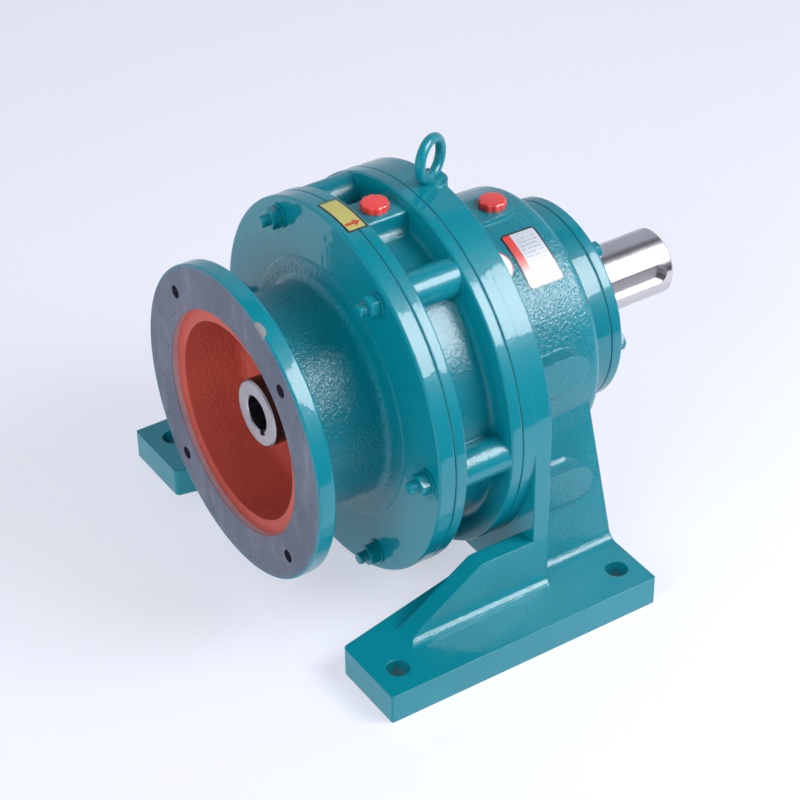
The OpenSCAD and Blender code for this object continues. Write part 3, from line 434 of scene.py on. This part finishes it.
def cover_normal(tree, where, bare, wall, primed):
    """Turning marks on the bare metal, and paint over rough or smooth casting elsewhere."""
    along = split(tree, where)[0]
    radius = shaft_radius(tree, where)
    feed = 0.9 * MM
    rings = calc(tree, "SINE", calc(tree, "MULTIPLY", radius, 2 * math.pi / feed))
    turned = relief(tree, rings, 0.000010)
    turned = relief(tree, noise(tree, where, 300.0, 3.0), 0.00010, turned)
    cast = times(tree, less(tree, step(tree, radius, band_r, 0.6 * MM)),
                 step(tree, along, motor_x + flange_t - 0.5 * MM, 0.5 * MM))
    painted = enamel_relief(tree, where, plus(tree, cast, times(tree, primed, 0.22)), 1.8 * MM)
    return either(tree, plus(tree, bare, wall), painted, turned)


def cover_enamel():
    """Motor cover: enamel outside, bare iron on the flange face, red primer in the pocket."""
    made, tree, shader = material("cover_enamel", TEAL_LIGHT, 0.4)
    where = place(tree)
    bare, wall, primed = flange_masks(tree, where)
    metal = plus(tree, bare, wall)
    put(tree, cover_color(tree, where, bare, wall, primed), shader.inputs["Base Color"])
    put(tree, plus(tree, times(tree, bare, 0.55), times(tree, wall, 0.45)), shader.inputs["Metallic"])
    smudged = between(tree, noise(tree, where, 18.0, 4.0), 0.36, 0.5)
    rough = between(tree, bare, 0.4, smudged)
    rough = between(tree, wall, rough, 0.24)
    put(tree, between(tree, primed, rough, 0.5), shader.inputs["Roughness"])
    gloss_coat(shader)
    painted = less(tree, plus(tree, metal, times(tree, primed, 0.72)))
    put(tree, times(tree, painted, GLOSS), shader.inputs["Coat Weight"])
    face_with(tree, shader, cover_normal(tree, where, bare, wall, primed))
    return made


# ---------------------------------------------------------------- bare metal, plastic and paper

STEEL = (0.58, 0.56, 0.58)


def ground_steel(name, color, rough, ring_pitch=0.5 * MM):
    """Turned or ground steel with fine marks round the shaft."""
    made, tree, shader = material(name, color, rough, 1.0)
    where = place(tree)
    slow = noise(tree, where, 30.0, 3.0)
    put(tree, blend(tree, slow, tuple(0.84 * c for c in color), color), shader.inputs["Base Color"])
    fine = noise(tree, stretched(tree, where, (1.0 / ring_pitch, 40.0, 40.0)), 1.0, 2.0)
    put(tree, between(tree, fine, rough * 0.75, rough * 1.35), shader.inputs["Roughness"])
    put(tree, relief(tree, fine, 0.000012, soft_edges(tree, 0.7 * MM)), shader.inputs["Normal"])
    return made


def hub_steel():
    """Input shaft: turned face and bore, with a dark oily film on the outside of its coupling end."""
    made, tree, shader = material("hub_steel", STEEL, 0.3, 1.0)
    where = place(tree)
    radius = shaft_radius(tree, where)
    along = split(tree, where)[0]
    outside = times(tree, step(tree, radius, hub_high.y - 1.0 * MM, 0.6 * MM),
                    step(tree, along, hub_low.x + 1.4 * MM, 1 * MM))
    bore = less(tree, step(tree, radius, bore_r + 0.4 * MM, 0.3 * MM))
    stain = noise(tree, where, 60.0, 4.0)
    bright = blend(tree, stain, (0.40, 0.40, 0.43), (0.60, 0.59, 0.62))
    oily = blend(tree, stain, (0.022, 0.012, 0.011), (0.060, 0.030, 0.026))
    put(tree, blend(tree, outside, bright, oily), shader.inputs["Base Color"])
    put(tree, less(tree, times(tree, outside, 0.7)), shader.inputs["Metallic"])
    put(tree, between(tree, outside, between(tree, bore, 0.34, 0.20), 0.25), shader.inputs["Roughness"])
    rings = noise(tree, stretched(tree, where, (1400.0, 40.0, 40.0)), 1.0, 2.0)
    pits = relief(tree, noise(tree, where, 520.0, 3.0), 0.00016, soft_edges(tree, 0.9 * MM))
    put(tree, relief(tree, rings, 0.000015, pits), shader.inputs["Normal"])
    return made


def moulded_plastic(name, color):
    """Satin plastic with a slightly uneven skin."""
    made, tree, shader = material(name, color, 0.32)
    where = place(tree)
    slow = noise(tree, where, 90.0, 3.0)
    put(tree, blend(tree, slow, tuple(0.82 * c for c in color), color), shader.inputs["Base Color"])
    uneven = relief(tree, noise(tree, where, 420.0, 2.0), 0.00022, soft_edges(tree, 0.7 * MM))
    put(tree, uneven, shader.inputs["Normal"])
    shader.inputs["Coat Weight"].default_value = 0.15
    shader.inputs["Coat Roughness"].default_value = 0.15
    return made


def gasket_paper():
    """Dark paper joints, painted over at their edges."""
    made, tree, shader = material("gasket_paper", (0.01, 0.03, 0.035), 0.6)
    where = place(tree)
    fibres = noise(tree, where, 700.0, 4.0)
    color = blend(tree, fibres, (0.004, 0.016, 0.02), (0.012, 0.04, 0.05))
    put(tree, color, shader.inputs["Base Color"])
    put(tree, relief(tree, fibres, 0.0001), shader.inputs["Normal"])
    return made


def seal_rubber():
    """Black rubber of the shaft seals."""
    made, tree, shader = material("seal_rubber", (0.012, 0.012, 0.013), 0.45)
    where = place(tree)
    bloom = noise(tree, where, 90.0, 4.0)
    color = blend(tree, bloom, (0.008, 0.008, 0.009), (0.022, 0.022, 0.024))
    put(tree, color, shader.inputs["Base Color"])
    put(tree, relief(tree, noise(tree, where, 900.0), 0.00003), shader.inputs["Normal"])
    return made


def rolled_brass():
    """Brass of the roller cages."""
    made, tree, shader = material("rolled_brass", (0.70, 0.50, 0.20), 0.3, 1.0)
    where = place(tree)
    tarnish = noise(tree, where, 50.0, 4.0)
    put(tree, blend(tree, tarnish, (0.55, 0.38, 0.14), (0.74, 0.54, 0.24)), shader.inputs["Base Color"])
    put(tree, relief(tree, noise(tree, where, 400.0), 0.00003), shader.inputs["Normal"])
    return made


# ---------------------------------------------------------------- pieces made here

def finish_piece(mesh, name, finish, body="housing", smooth_below=35):
    """Makes an object from a bmesh, shades it and puts it on its body."""
    bmesh.ops.recalc_face_normals(mesh, faces=mesh.faces)
    data = bpy.data.meshes.new(name)
    mesh.to_mesh(data)
    mesh.free()
    data.materials.append(finish)
    data.shade_smooth()
    data.set_sharp_from_angle(angle=math.radians(smooth_below))
    piece = bpy.data.objects.new(name, data)
    bpy.context.scene.collection.objects.link(piece)
    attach(piece, body)
    return piece


def lathe(mesh, profile, centre_y, centre_z, steps):
    """Turns a closed profile of (x, radius) points about a line along X and welds it on the axis."""
    rim = [mesh.verts.new((x, centre_y, centre_z + r)) for x, r in profile]
    edges = [mesh.edges.new(pair) for pair in zip(rim, rim[1:] + rim[:1])]
    bmesh.ops.spin(mesh, geom=rim + edges, cent=(0, centre_y, centre_z), axis=(1, 0, 0),
                   angle=2 * math.pi, steps=steps, use_merge=True)
    bmesh.ops.remove_doubles(mesh, verts=mesh.verts, dist=1e-6)


def cut_hexagon(mesh, centre_y, centre_z, across, turn):
    """Cuts the six flats of a nut or bolt head."""
    centre = Vector((0, centre_y, centre_z))
    for k in range(6):
        angle = turn + k * math.pi / 3
        out = Vector((0, math.cos(angle), math.sin(angle)))
        geom = mesh.verts[:] + mesh.edges[:] + mesh.faces[:]
        flat = centre + out * across / 2
        cut = bmesh.ops.bisect_plane(mesh, geom=geom, plane_co=flat, plane_no=out, clear_outer=True)
        loop = [e for e in cut["geom_cut"] if isinstance(e, bmesh.types.BMEdge)]
        bmesh.ops.edgenet_fill(mesh, edges=loop)


def joined(parts):
    """One bmesh from several."""
    whole = bmesh.new()
    for part in parts:
        data = bpy.data.meshes.new("part")
        part.to_mesh(data)
        part.free()
        whole.from_mesh(data)
        bpy.data.meshes.remove(data)
    return whole


def bolt_circle(pitch):
    """Six places round the shaft as (y, z), turned with the tie studs."""
    angles = [k * math.pi / 3 - tie_turn for k in range(6)]
    return [(-pitch * math.cos(a), axis_z + pitch * math.sin(a)) for a in angles]


def tie_places():
    """Centres of the six tie studs as (y, z)."""
    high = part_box("tie_studs")[1]
    return bolt_circle((high.y - stud_r) / math.cos(tie_turn))


def chamfered_hexagon(x_low, x_high, centre, inner_r, corner_r, across, turn, chamfer):
    """A nut between two stations, its corners chamfered by a cone on both faces."""
    mesh = bmesh.new()
    face_r = corner_r - chamfer * 2.2
    profile = [(x_low, inner_r), (x_low, face_r), (x_low + chamfer, corner_r)]
    profile += [(x_high - chamfer, corner_r), (x_high, face_r), (x_high, inner_r)]
    lathe(mesh, profile, centre[0], centre[1], 48)
    cut_hexagon(mesh, centre[0], centre[1], across, turn)
    return mesh


def build_tie_nuts(finish):
    """Six M10 nuts, each stopped at its own angle."""
    low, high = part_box("tie_nuts")
    inner_r, corner_r, across, chamfer = 4.6 * MM, 9.0 * MM, 15.6 * MM, 0.7 * MM
    turns = (0.20, 0.75, 0.45, 0.10, 0.60, 0.90)
    parts = [chamfered_hexagon(low.x, high.x, centre, inner_r, corner_r, across, turn, chamfer)
             for centre, turn in zip(tie_places(), turns)]
    piece = finish_piece(joined(parts), "tie_nut_set", finish)
    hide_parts("tie_nuts")


def thread_profile(x_start, x_end, x_tail, radius, pitch, depth):
    """Profile of a stud with rounded thread crests from x_start to x_end, then plain to x_tail."""
    points = [(x_start, 0.0), (x_start, radius - 1.6 * depth)]
    x = x_start + 0.9 * pitch
    while x < x_end:
        points += [(x, radius), (x + 0.2 * pitch, radius)]
        points += [(x + 0.5 * pitch, radius - depth), (x + 0.7 * pitch, radius - depth)]
        x += pitch
    return points + [(x, radius - 0.02 * MM), (x_tail, radius - 0.02 * MM), (x_tail, 0.0)]


def build_tie_studs(finish):
    """Six M10 studs, threaded at the end that stands out of the nut."""
    low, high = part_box("tie_studs")
    thread_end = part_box("tie_nuts")[0].x + 2 * MM
    pitch, depth = 1.5 * MM, 0.65 * MM
    parts = []
    for centre in tie_places():
        mesh = bmesh.new()
        profile = thread_profile(low.x, thread_end, high.x, stud_r, pitch, depth)
        lathe(mesh, profile, centre[0], centre[1], 32)
        parts.append(mesh)
    piece = finish_piece(joined(parts), "tie_stud_set", finish, smooth_below=50)
    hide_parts("tie_studs")


def cover_bolt_places():
    """Centres of the six output cover bolts as (y, z), on the pitch circle inside the nose."""
    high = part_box("output_cover_bolts")[1]
    collar_r = 7.6 * MM
    return bolt_circle((high.y - collar_r) / math.cos(tie_turn))


def bolt_collar(x_low, face, centre):
    """The shank and the round collar of a cover bolt."""
    shank_r = 4 * MM
    collar_end = face + 1.1 * MM
    seat = face + 0.05 * MM
    mesh = bmesh.new()
    profile = [(x_low, 0.0), (x_low, shank_r), (seat, shank_r), (seat, 7.5 * MM), (collar_end, 7.2 * MM)]
    lathe(mesh, profile + [(collar_end, 0.0)], centre[0], centre[1], 32)
    return mesh


def bolt_head(x_low, x_high, centre, turn):
    """The hexagon of a cover bolt, chamfered on its outer face."""
    corner_r = 7.2 * MM
    mesh = bmesh.new()
    chamfer_x = x_high - 0.8 * MM
    profile = [(x_low, 0.0), (x_low, corner_r), (chamfer_x, corner_r), (x_high, 5.6 * MM), (x_high, 0.0)]
    lathe(mesh, profile, centre[0], centre[1], 48)
    cut_hexagon(mesh, centre[0], centre[1], 12.6 * MM, turn)
    return mesh


def build_cover_bolts(finish):
    """Six flanged hexagon bolts on the output cover."""
    low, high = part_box("output_cover_bolts")
    face = nose_high.x
    parts = []
    for k, centre in enumerate(cover_bolt_places()):
        parts.append(bolt_collar(low.x, face, centre))
        parts.append(bolt_head(face + 1.0 * MM, high.x, centre, 0.3 + 0.37 * k))
    piece = finish_piece(joined(parts), "output_cover_bolt_set", finish)
    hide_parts("output_cover_bolts")


def plug_head(head_r, head_h):
    """A round head with ten shallow flutes and a raised, rounded top, standing on z = 0."""
    lobes, flute_depth = 10, 0.085
    mesh = bmesh.new()
    top_r = head_r - 0.2 * MM
    bmesh.ops.create_cone(mesh, cap_ends=True, segments=8 * lobes, radius1=head_r, radius2=top_r,
                          depth=head_h)
    bmesh.ops.translate(mesh, verts=mesh.verts, vec=(0, 0, head_h / 2))
    for vert in mesh.verts:
        flute = 0.5 - 0.5 * math.cos(lobes * math.atan2(vert.co.y, vert.co.x))
        vert.co.xy *= 1 - flute_depth * flute ** 2
    top = [f for f in mesh.faces if f.normal.z > 0.9]
    bmesh.ops.inset_region(mesh, faces=top, thickness=2.4 * MM, depth=0.35 * MM, use_even_offset=True)
    rims = [e for e in mesh.edges if e.calc_face_angle(0.0) > math.radians(50)]
    bmesh.ops.bevel(mesh, geom=rims, offset=0.8 * MM, segments=3, affect="EDGES", profile=0.5,
                    material=-1)
    return mesh


def plug_shank(shank_r, shank_l, overlap):
    """A plain shank under z = 0 that reaches into the head by an overlap."""
    mesh = bmesh.new()
    depth = shank_l + overlap
    bmesh.ops.create_cone(mesh, cap_ends=True, segments=32, radius1=shank_r, radius2=shank_r,
                          depth=depth)
    bmesh.ops.translate(mesh, verts=mesh.verts, vec=(0, 0, (overlap - shank_l) / 2))
    return mesh


def build_plug(node, finish):
    """A moulded plug on its place in the casing."""
    low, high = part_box(node)
    middle = (low + high) / 2
    head_h = 6.0 * MM
    raised = 0.35 * MM
    whole = joined([plug_head(11 * MM, head_h), plug_shank(8 * MM, high.z - low.z - head_h, 1 * MM)])
    bmesh.ops.translate(whole, verts=whole.verts, vec=(middle.x, middle.y, high.z - head_h - raised))
    piece = finish_piece(whole, node + "_head", finish, smooth_below=40)
    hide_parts(node)


# ---------------------------------------------------------------- bare plates on the casing

def rounded_sheet(half_x, half_s, corner, cells_x, cells_s):
    """A flat sheet round the origin with rounded corners."""
    mesh = bmesh.new()
    bmesh.ops.create_grid(mesh, x_segments=cells_x, y_segments=cells_s, size=1.0)
    bmesh.ops.scale(mesh, verts=mesh.verts, vec=(half_x, half_s, 1.0))
    corners = [v for v in mesh.verts
               if abs(abs(v.co.x) - half_x) < 1e-6 and abs(abs(v.co.y) - half_s) < 1e-6]
    bmesh.ops.bevel(mesh, geom=corners, offset=corner, segments=4, affect="VERTICES", profile=0.5,
                    material=-1)
    return mesh


def wrap_on_casing(mesh, centre_x, centre_angle, radius_at, lift, thick):
    """Thickens a flat sheet and lays it round the shaft at the casing's radius."""
    walls = bmesh.ops.extrude_face_region(mesh, geom=mesh.faces[:])
    raised = [v for v in walls["geom"] if isinstance(v, bmesh.types.BMVert)]
    bmesh.ops.translate(mesh, verts=raised, vec=(0, 0, thick))
    for vert in mesh.verts:
        x = centre_x + vert.co.x
        radius = radius_at(x)
        angle = centre_angle + vert.co.y / radius
        height = radius + lift + vert.co.z
        vert.co = (x, -height * math.cos(angle), axis_z + height * math.sin(angle))


def rim_radius(x):
    """The front rims have one radius all along."""
    return rim_r


def drum_radius(x):
    """The drum tapers from its front to its rear shoulder."""
    share = (x - plate_rear) / (drum_end - plate_rear)
    return drum_front_r + (drum_rear_r - drum_front_r) * share


def sheet_place(tree, where, centre_x, centre_angle, radius):
    """Coordinates on a wrapped sheet: along the shaft and round it, from its centre."""
    along = calc(tree, "SUBTRACT", split(tree, where)[0], centre_x)
    turned = calc(tree, "SUBTRACT", shaft_angle(tree, where), centre_angle)
    return along, calc(tree, "MULTIPLY", turned, radius)


def box_distance(tree, along, round_it, half_x, half_s, corner):
    """Distance outside a rounded rectangle, negative inside."""
    over_x = calc(tree, "SUBTRACT", calc(tree, "ABSOLUTE", along), half_x - corner)
    over_s = calc(tree, "SUBTRACT", calc(tree, "ABSOLUTE", round_it), half_s - corner)
    out_x = calc(tree, "MAXIMUM", over_x, 0.0)
    out_s = calc(tree, "MAXIMUM", over_s, 0.0)
    reach = hypotenuse(tree, out_x, out_s)
    inner = calc(tree, "MINIMUM", calc(tree, "MAXIMUM", over_x, over_s), 0.0)
    return calc(tree, "SUBTRACT", calc(tree, "ADD", reach, inner), corner)


def printed_film(name, rough=0.3):
    """A slightly wavy, satin film; its colour is set by what is printed on it."""
    made, tree, shader = material(name, (0.8, 0.8, 0.8), rough)
    shader.inputs["Coat Weight"].default_value = 0.2
    shader.inputs["Coat Roughness"].default_value = 0.12
    where = place(tree)
    wavy = relief(tree, noise(tree, where, 120.0, 2.0), 0.00012, soft_edges(tree, 0.2 * MM))
    face_with(tree, shader, wavy)
    return made, tree, shader, where


def arrow(tree, along, round_it, at_x, at_s, length, half_w):
    """A plain arrow that points along +X."""
    soft = 0.1 * MM
    head_start, shaft_end, shaft_half_w = length * 0.56, length * 0.62, half_w * 0.36
    x = calc(tree, "SUBTRACT", along, at_x)
    s = calc(tree, "ABSOLUTE", calc(tree, "SUBTRACT", round_it, at_s))
    beside = step(tree, s, shaft_half_w, soft)
    shaft = times(tree, band(tree, x, 0.0, shaft_end, soft), less(tree, beside))
    taper = calc(tree, "MULTIPLY", calc(tree, "SUBTRACT", length, x), half_w / (length - head_start))
    outside = step(tree, calc(tree, "SUBTRACT", s, taper), 0.0, soft)
    head = times(tree, band(tree, x, head_start, length, soft), less(tree, outside))
    return plus(tree, shaft, head)


def inked_edge(tree, color, edge, width=1.5 * MM):
    """Draws the black edge of a tag or plate; edge is the distance outside its outline."""
    return blend(tree, step(tree, edge, -width, 0.15 * MM), color, INK)


def build_arrow_tag():
    """Yellow tag over the front rims, with a black edge and a plain red arrow."""
    half_x, half_s, corner = 8.5 * MM, 21.8 * MM, 0.6 * MM
    centre_x, centre_angle = motor_x + 100.0 * MM, math.radians(88.65)
    made, tree, shader, where = printed_film("yellow_film")
    along, round_it = sheet_place(tree, where, centre_x, centre_angle, rim_r)
    edge = box_distance(tree, along, round_it, half_x, half_s, corner)
    worn = blend(tree, noise(tree, where, 80.0, 3.0), (0.44, 0.40, 0.085), (0.54, 0.50, 0.13))
    pointer = arrow(tree, along, round_it, -6.3 * MM, -13.5 * MM, length=12.6 * MM, half_w=4.2 * MM)
    color = blend(tree, pointer, worn, (0.55, 0.05, 0.02))
    put(tree, inked_edge(tree, color, edge), shader.inputs["Base Color"])
    mesh = rounded_sheet(half_x, half_s, corner, 2, 12)
    wrap_on_casing(mesh, centre_x, centre_angle, rim_radius, 0.05 * MM, 0.25 * MM)
    finish_piece(mesh, "arrow_tag", made)


def dashed_rows(tree, where, along, round_it):
    """Rows of broken dashes that run along the shaft."""
    row = less(tree, step(tree, calc(tree, "PINGPONG", round_it, 1.7 * MM), 0.55 * MM, 0.2 * MM))
    rows = times(tree, row, band(tree, along, -5.5 * MM, 11.5 * MM, 0.3 * MM),
                 band(tree, round_it, -13 * MM, 19 * MM, 0.3 * MM))
    return times(tree, rows, step(tree, noise(tree, where, 520.0, 1.0), 0.46, 0.06))


def build_white_plate():
    """White plate on the drum: black edge, red band on its front side, rows of plain dashes and a painted
    highlight across its lower end.
    """
    half_x, half_s, corner = 15.75 * MM, 24.5 * MM, 3 * MM
    centre_x, centre_angle = motor_x + 236.7 * MM, math.radians(59.95)
    radius = drum_radius(centre_x)
    made, tree, shader, where = printed_film("white_film")
    along, round_it = sheet_place(tree, where, centre_x, centre_angle, radius)
    edge = box_distance(tree, along, round_it, half_x, half_s, corner)
    dashes = dashed_rows(tree, where, along, round_it)
    color = blend(tree, times(tree, dashes, 0.6), (0.58, 0.60, 0.65), (0.20, 0.21, 0.25))
    red_band = less(tree, step(tree, along, -half_x + 8.2 * MM, 0.2 * MM))
    color = blend(tree, red_band, color, (0.72, 0.045, 0.035))
    # Painted highlight: the lower end of the plate is blended towards white.
    painted_highlight_band = less(tree, step(tree, round_it, -half_s + 7 * MM, 0.2 * MM))
    color = blend(tree, times(tree, painted_highlight_band, 0.85), color, (0.82, 0.80, 0.86))
    put(tree, inked_edge(tree, color, edge), shader.inputs["Base Color"])
    mesh = rounded_sheet(half_x, half_s, corner, 4, 12)
    wrap_on_casing(mesh, centre_x, centre_angle, drum_radius, 0.1 * MM, 0.3 * MM)
    finish_piece(mesh, "white_plate", made)


def build_round_disc():
    """Round white disc with a red edge, on the drum beside the white plate, on its motor side."""
    disc_r = 13.8 * MM
    centre_x, centre_angle = motor_x + 203.6 * MM, math.radians(61.0)
    radius = drum_radius(centre_x)
    made, tree, shader, where = printed_film("disc_film")
    along, round_it = sheet_place(tree, where, centre_x, centre_angle, radius)
    reach = hypotenuse(tree, along, round_it)
    red_edge = step(tree, reach, disc_r - 1.2 * MM, 0.2 * MM)
    color = blend(tree, red_edge, (0.80, 0.80, 0.85), (0.60, 0.10, 0.08))
    put(tree, color, shader.inputs["Base Color"])
    mesh = bmesh.new()
    bmesh.ops.create_circle(mesh, cap_ends=True, cap_tris=True, segments=48, radius=disc_r)
    bmesh.ops.subdivide_edges(mesh, edges=mesh.edges[:], cuts=2, use_grid_fill=True)
    wrap_on_casing(mesh, centre_x, centre_angle, drum_radius, 0.02 * MM, 0.12 * MM)
    finish_piece(mesh, "round_disc", made)


# ---------------------------------------------------------------- dressing

def dress(names, finish):
    """Gives CAD nodes a finish."""
    for name in names:
        for slot in frame["nodes"][name].material_slots:
            slot.material = finish


def nodes_of(slot):
    """CAD nodes that the record gives a material slot."""
    return [s["node"] for s in frame["record"]["subparts"] if s["material_slot"] == slot]


def dress_castings():
    """Enamel on the castings, with bare iron and primer on the motor cover."""
    dress(["motor_cover"], cover_enamel())
    dress(["pin_housing"], enamel("housing_enamel", inside_rims))
    dress(["base_casing"], enamel("casing_enamel", casting_mask, 1.5 * MM))
    dress(["output_cover"], enamel("nose_enamel", smooth_all))


def dress_joints_and_seals():
    """Paper joints and rubber seals."""
    dress(nodes_of("gasket_paper"), gasket_paper())
    dress(nodes_of("seal_rubber"), seal_rubber())


def dress_working_parts():
    """Shafts, discs, pins, bearings and cages."""
    dress(["input_shaft"], hub_steel())
    dress(["output_shaft"], ground_steel("shaft_steel", STEEL, 0.2))
    dress(nodes_of("hardened_steel"), ground_steel("hardened_steel", (0.42, 0.42, 0.45), 0.22))
    dress(nodes_of("bearing_steel"), ground_steel("bearing_steel", (0.62, 0.62, 0.64), 0.12))
    dress(["eccentric_cages"], rolled_brass())


def dress_fasteners():
    """Painted fasteners and the lifting eye, with modelled threads and chamfers."""
    fastener_enamel = enamel("fastener_enamel", fastener_skin, 0.6 * MM)
    dress(["output_cover_bolts", "tie_studs", "tie_nuts", "tie_washers", "eyebolt"], fastener_enamel)
    build_tie_nuts(fastener_enamel)
    build_tie_studs(fastener_enamel)
    build_cover_bolts(fastener_enamel)


def dress_plugs():
    """The two red plugs."""
    plug_plastic = moulded_plastic("plug_plastic", (0.86, 0.050, 0.040))
    dress(["fill_plug", "vent_plug"], plug_plastic)
    build_plug("fill_plug", plug_plastic)
    build_plug("vent_plug", plug_plastic)


dress_castings()
dress_joints_and_seals()
dress_working_parts()
dress_fasteners()
dress_plugs()
build_arrow_tag()
build_white_plate()
build_round_disc()


# ---------------------------------------------------------------- floor, light and camera

def studio_floor():
    """Pale paper that glows a little, so that shadows on it stay weak."""
    mesh = bmesh.new()
    bmesh.ops.create_grid(mesh, x_segments=1, y_segments=1, size=6.0)
    data = bpy.data.meshes.new("studio_floor")
    mesh.to_mesh(data)
    mesh.free()
    floor = bpy.data.objects.new("studio_floor", data)
    bpy.context.scene.collection.objects.link(floor)
    made, tree, shader = material("floor_paper", (0.38, 0.385, 0.42), 0.6)
    slow = noise(tree, place(tree), 0.8, 1.0)
    put(tree, blend(tree, slow, (0.38, 0.385, 0.42), (0.40, 0.405, 0.44)), shader.inputs["Base Color"])
    shader.inputs["Emission Color"].default_value = (0.90, 0.91, 1.0, 1.0)
    shader.inputs["Emission Strength"].default_value = 0.56
    shader.inputs["Specular IOR Level"].default_value = 0.2
    data.materials.append(made)


def dark_card(name, corners):
    """A black card that only reflections see."""
    mesh = bmesh.new()
    verts = [mesh.verts.new(c) for c in corners]
    bmesh.ops.contextual_create(mesh, geom=verts)
    data = bpy.data.meshes.new(name)
    mesh.to_mesh(data)
    mesh.free()
    card = bpy.data.objects.new(name, data)
    bpy.context.scene.collection.objects.link(card)
    made, _, shader = material(name + "_felt", (0.012, 0.014, 0.018), 0.9)
    shader.inputs["Specular IOR Level"].default_value = 0.0
    data.materials.append(made)
    card.visible_camera = False
    card.visible_diffuse = False
    card.visible_shadow = False
    card.visible_transmission = False


def softbox(name, direction, distance, width, height, radiance, color, mirrored=True, lights=True):
    """A rectangular light that looks at the middle of the unit.

    With mirrored off it isn't seen in reflections; with lights off it is only seen in them.
    """
    light = bpy.data.lights.new(name, "AREA")
    light.shape = "RECTANGLE"
    light.size = width
    light.size_y = height
    light.energy = radiance * math.pi * width * height
    light.color = color
    lamp = bpy.data.objects.new(name, light)
    bpy.context.scene.collection.objects.link(lamp)
    middle = Vector((0.05, 0.0, axis_z))
    towards = Vector(direction).normalized()
    lamp.location = middle + towards * distance
    lamp.rotation_euler = towards.to_track_quat("Z", "X").to_euler()
    lamp.visible_glossy = mirrored
    lamp.visible_diffuse = lights
    return lamp


def room():
    """Pale walls, higher behind the table, and a dark ceiling above them."""
    world = bpy.data.worlds.new("room")
    world.use_nodes = True
    bpy.context.scene.world = world
    tree = world.node_tree
    where = split(tree, tree.nodes.new("ShaderNodeTexCoord").outputs["Generated"])
    behind = step(tree, where[1], 0.12, 0.3)
    top = between(tree, behind, 0.34, 0.80)
    ceiling = step(tree, calc(tree, "SUBTRACT", where[2], top), 0.0, 0.06)
    color = blend(tree, ceiling, (0.56, 0.59, 0.70), (0.025, 0.03, 0.04))
    put(tree, color, tree.nodes["Background"].inputs["Color"])
    tree.nodes["Background"].inputs["Strength"].default_value = 1.0


def camera():
    """Stands off the motor side and to the right, looking down at the unit."""
    lens = bpy.data.cameras.new("camera")
    lens.sensor_width = 36.0
    lens.lens = 113.9
    eye = bpy.data.objects.new("camera", lens)
    heading, tilt_down, roll = math.radians(57.0793), math.radians(36.42648), math.radians(-0.67514)
    turn = Matrix.Rotation(heading - math.pi / 2, 4, "Z")
    turn = turn @ Matrix.Rotation(math.pi / 2 - tilt_down, 4, "X") @ Matrix.Rotation(roll, 4, "Z")
    eye.matrix_world = Matrix.Translation(Vector((motor_x - 0.7153, -1.33678, axis_z + 1.1350))) @ turn
    bpy.context.scene.collection.objects.link(eye)
    bpy.context.scene.camera = eye


studio_floor()
room()
card_start, card_end, card_y = -0.35, 1.6, -0.95
card_top, card_depth, on_floor = 0.58, 0.45, 0.003
near_edge = [(card_start, card_y, on_floor), (card_end, card_y, on_floor)]
far_edge = [(card_end, card_y + card_depth, on_floor), (card_start, card_y + card_depth, on_floor)]
dark_card("front_card", near_edge + [(card_end, card_y, card_top), (card_start, card_y, card_top)])
dark_card("table_edge_card", near_edge + far_edge)
key_side = (0.465, -0.598, 0.652)
softbox("key_softbox", key_side, distance=1.6, width=0.88, height=0.95, radiance=9.0,
        color=(0.97, 0.985, 1.03))
softbox("key_sheen", key_side, distance=1.6, width=0.88, height=0.95, radiance=72.0,
        color=(0.98, 0.985, 1.03), lights=False)
softbox("fill_softbox", (-0.80, -0.35, 0.45), distance=2.2, width=1.3, height=1.1, radiance=6.0,
        color=(0.97, 0.985, 1.0), mirrored=False)
softbox("overhead_diffuser", (0.0, 0.0, 1.0), distance=2.6, width=4.0, height=4.0, radiance=0.24,
        color=(0.97, 0.98, 1.0), mirrored=False)
camera()
bpy.context.scene.view_settings.view_transform = "Standard"
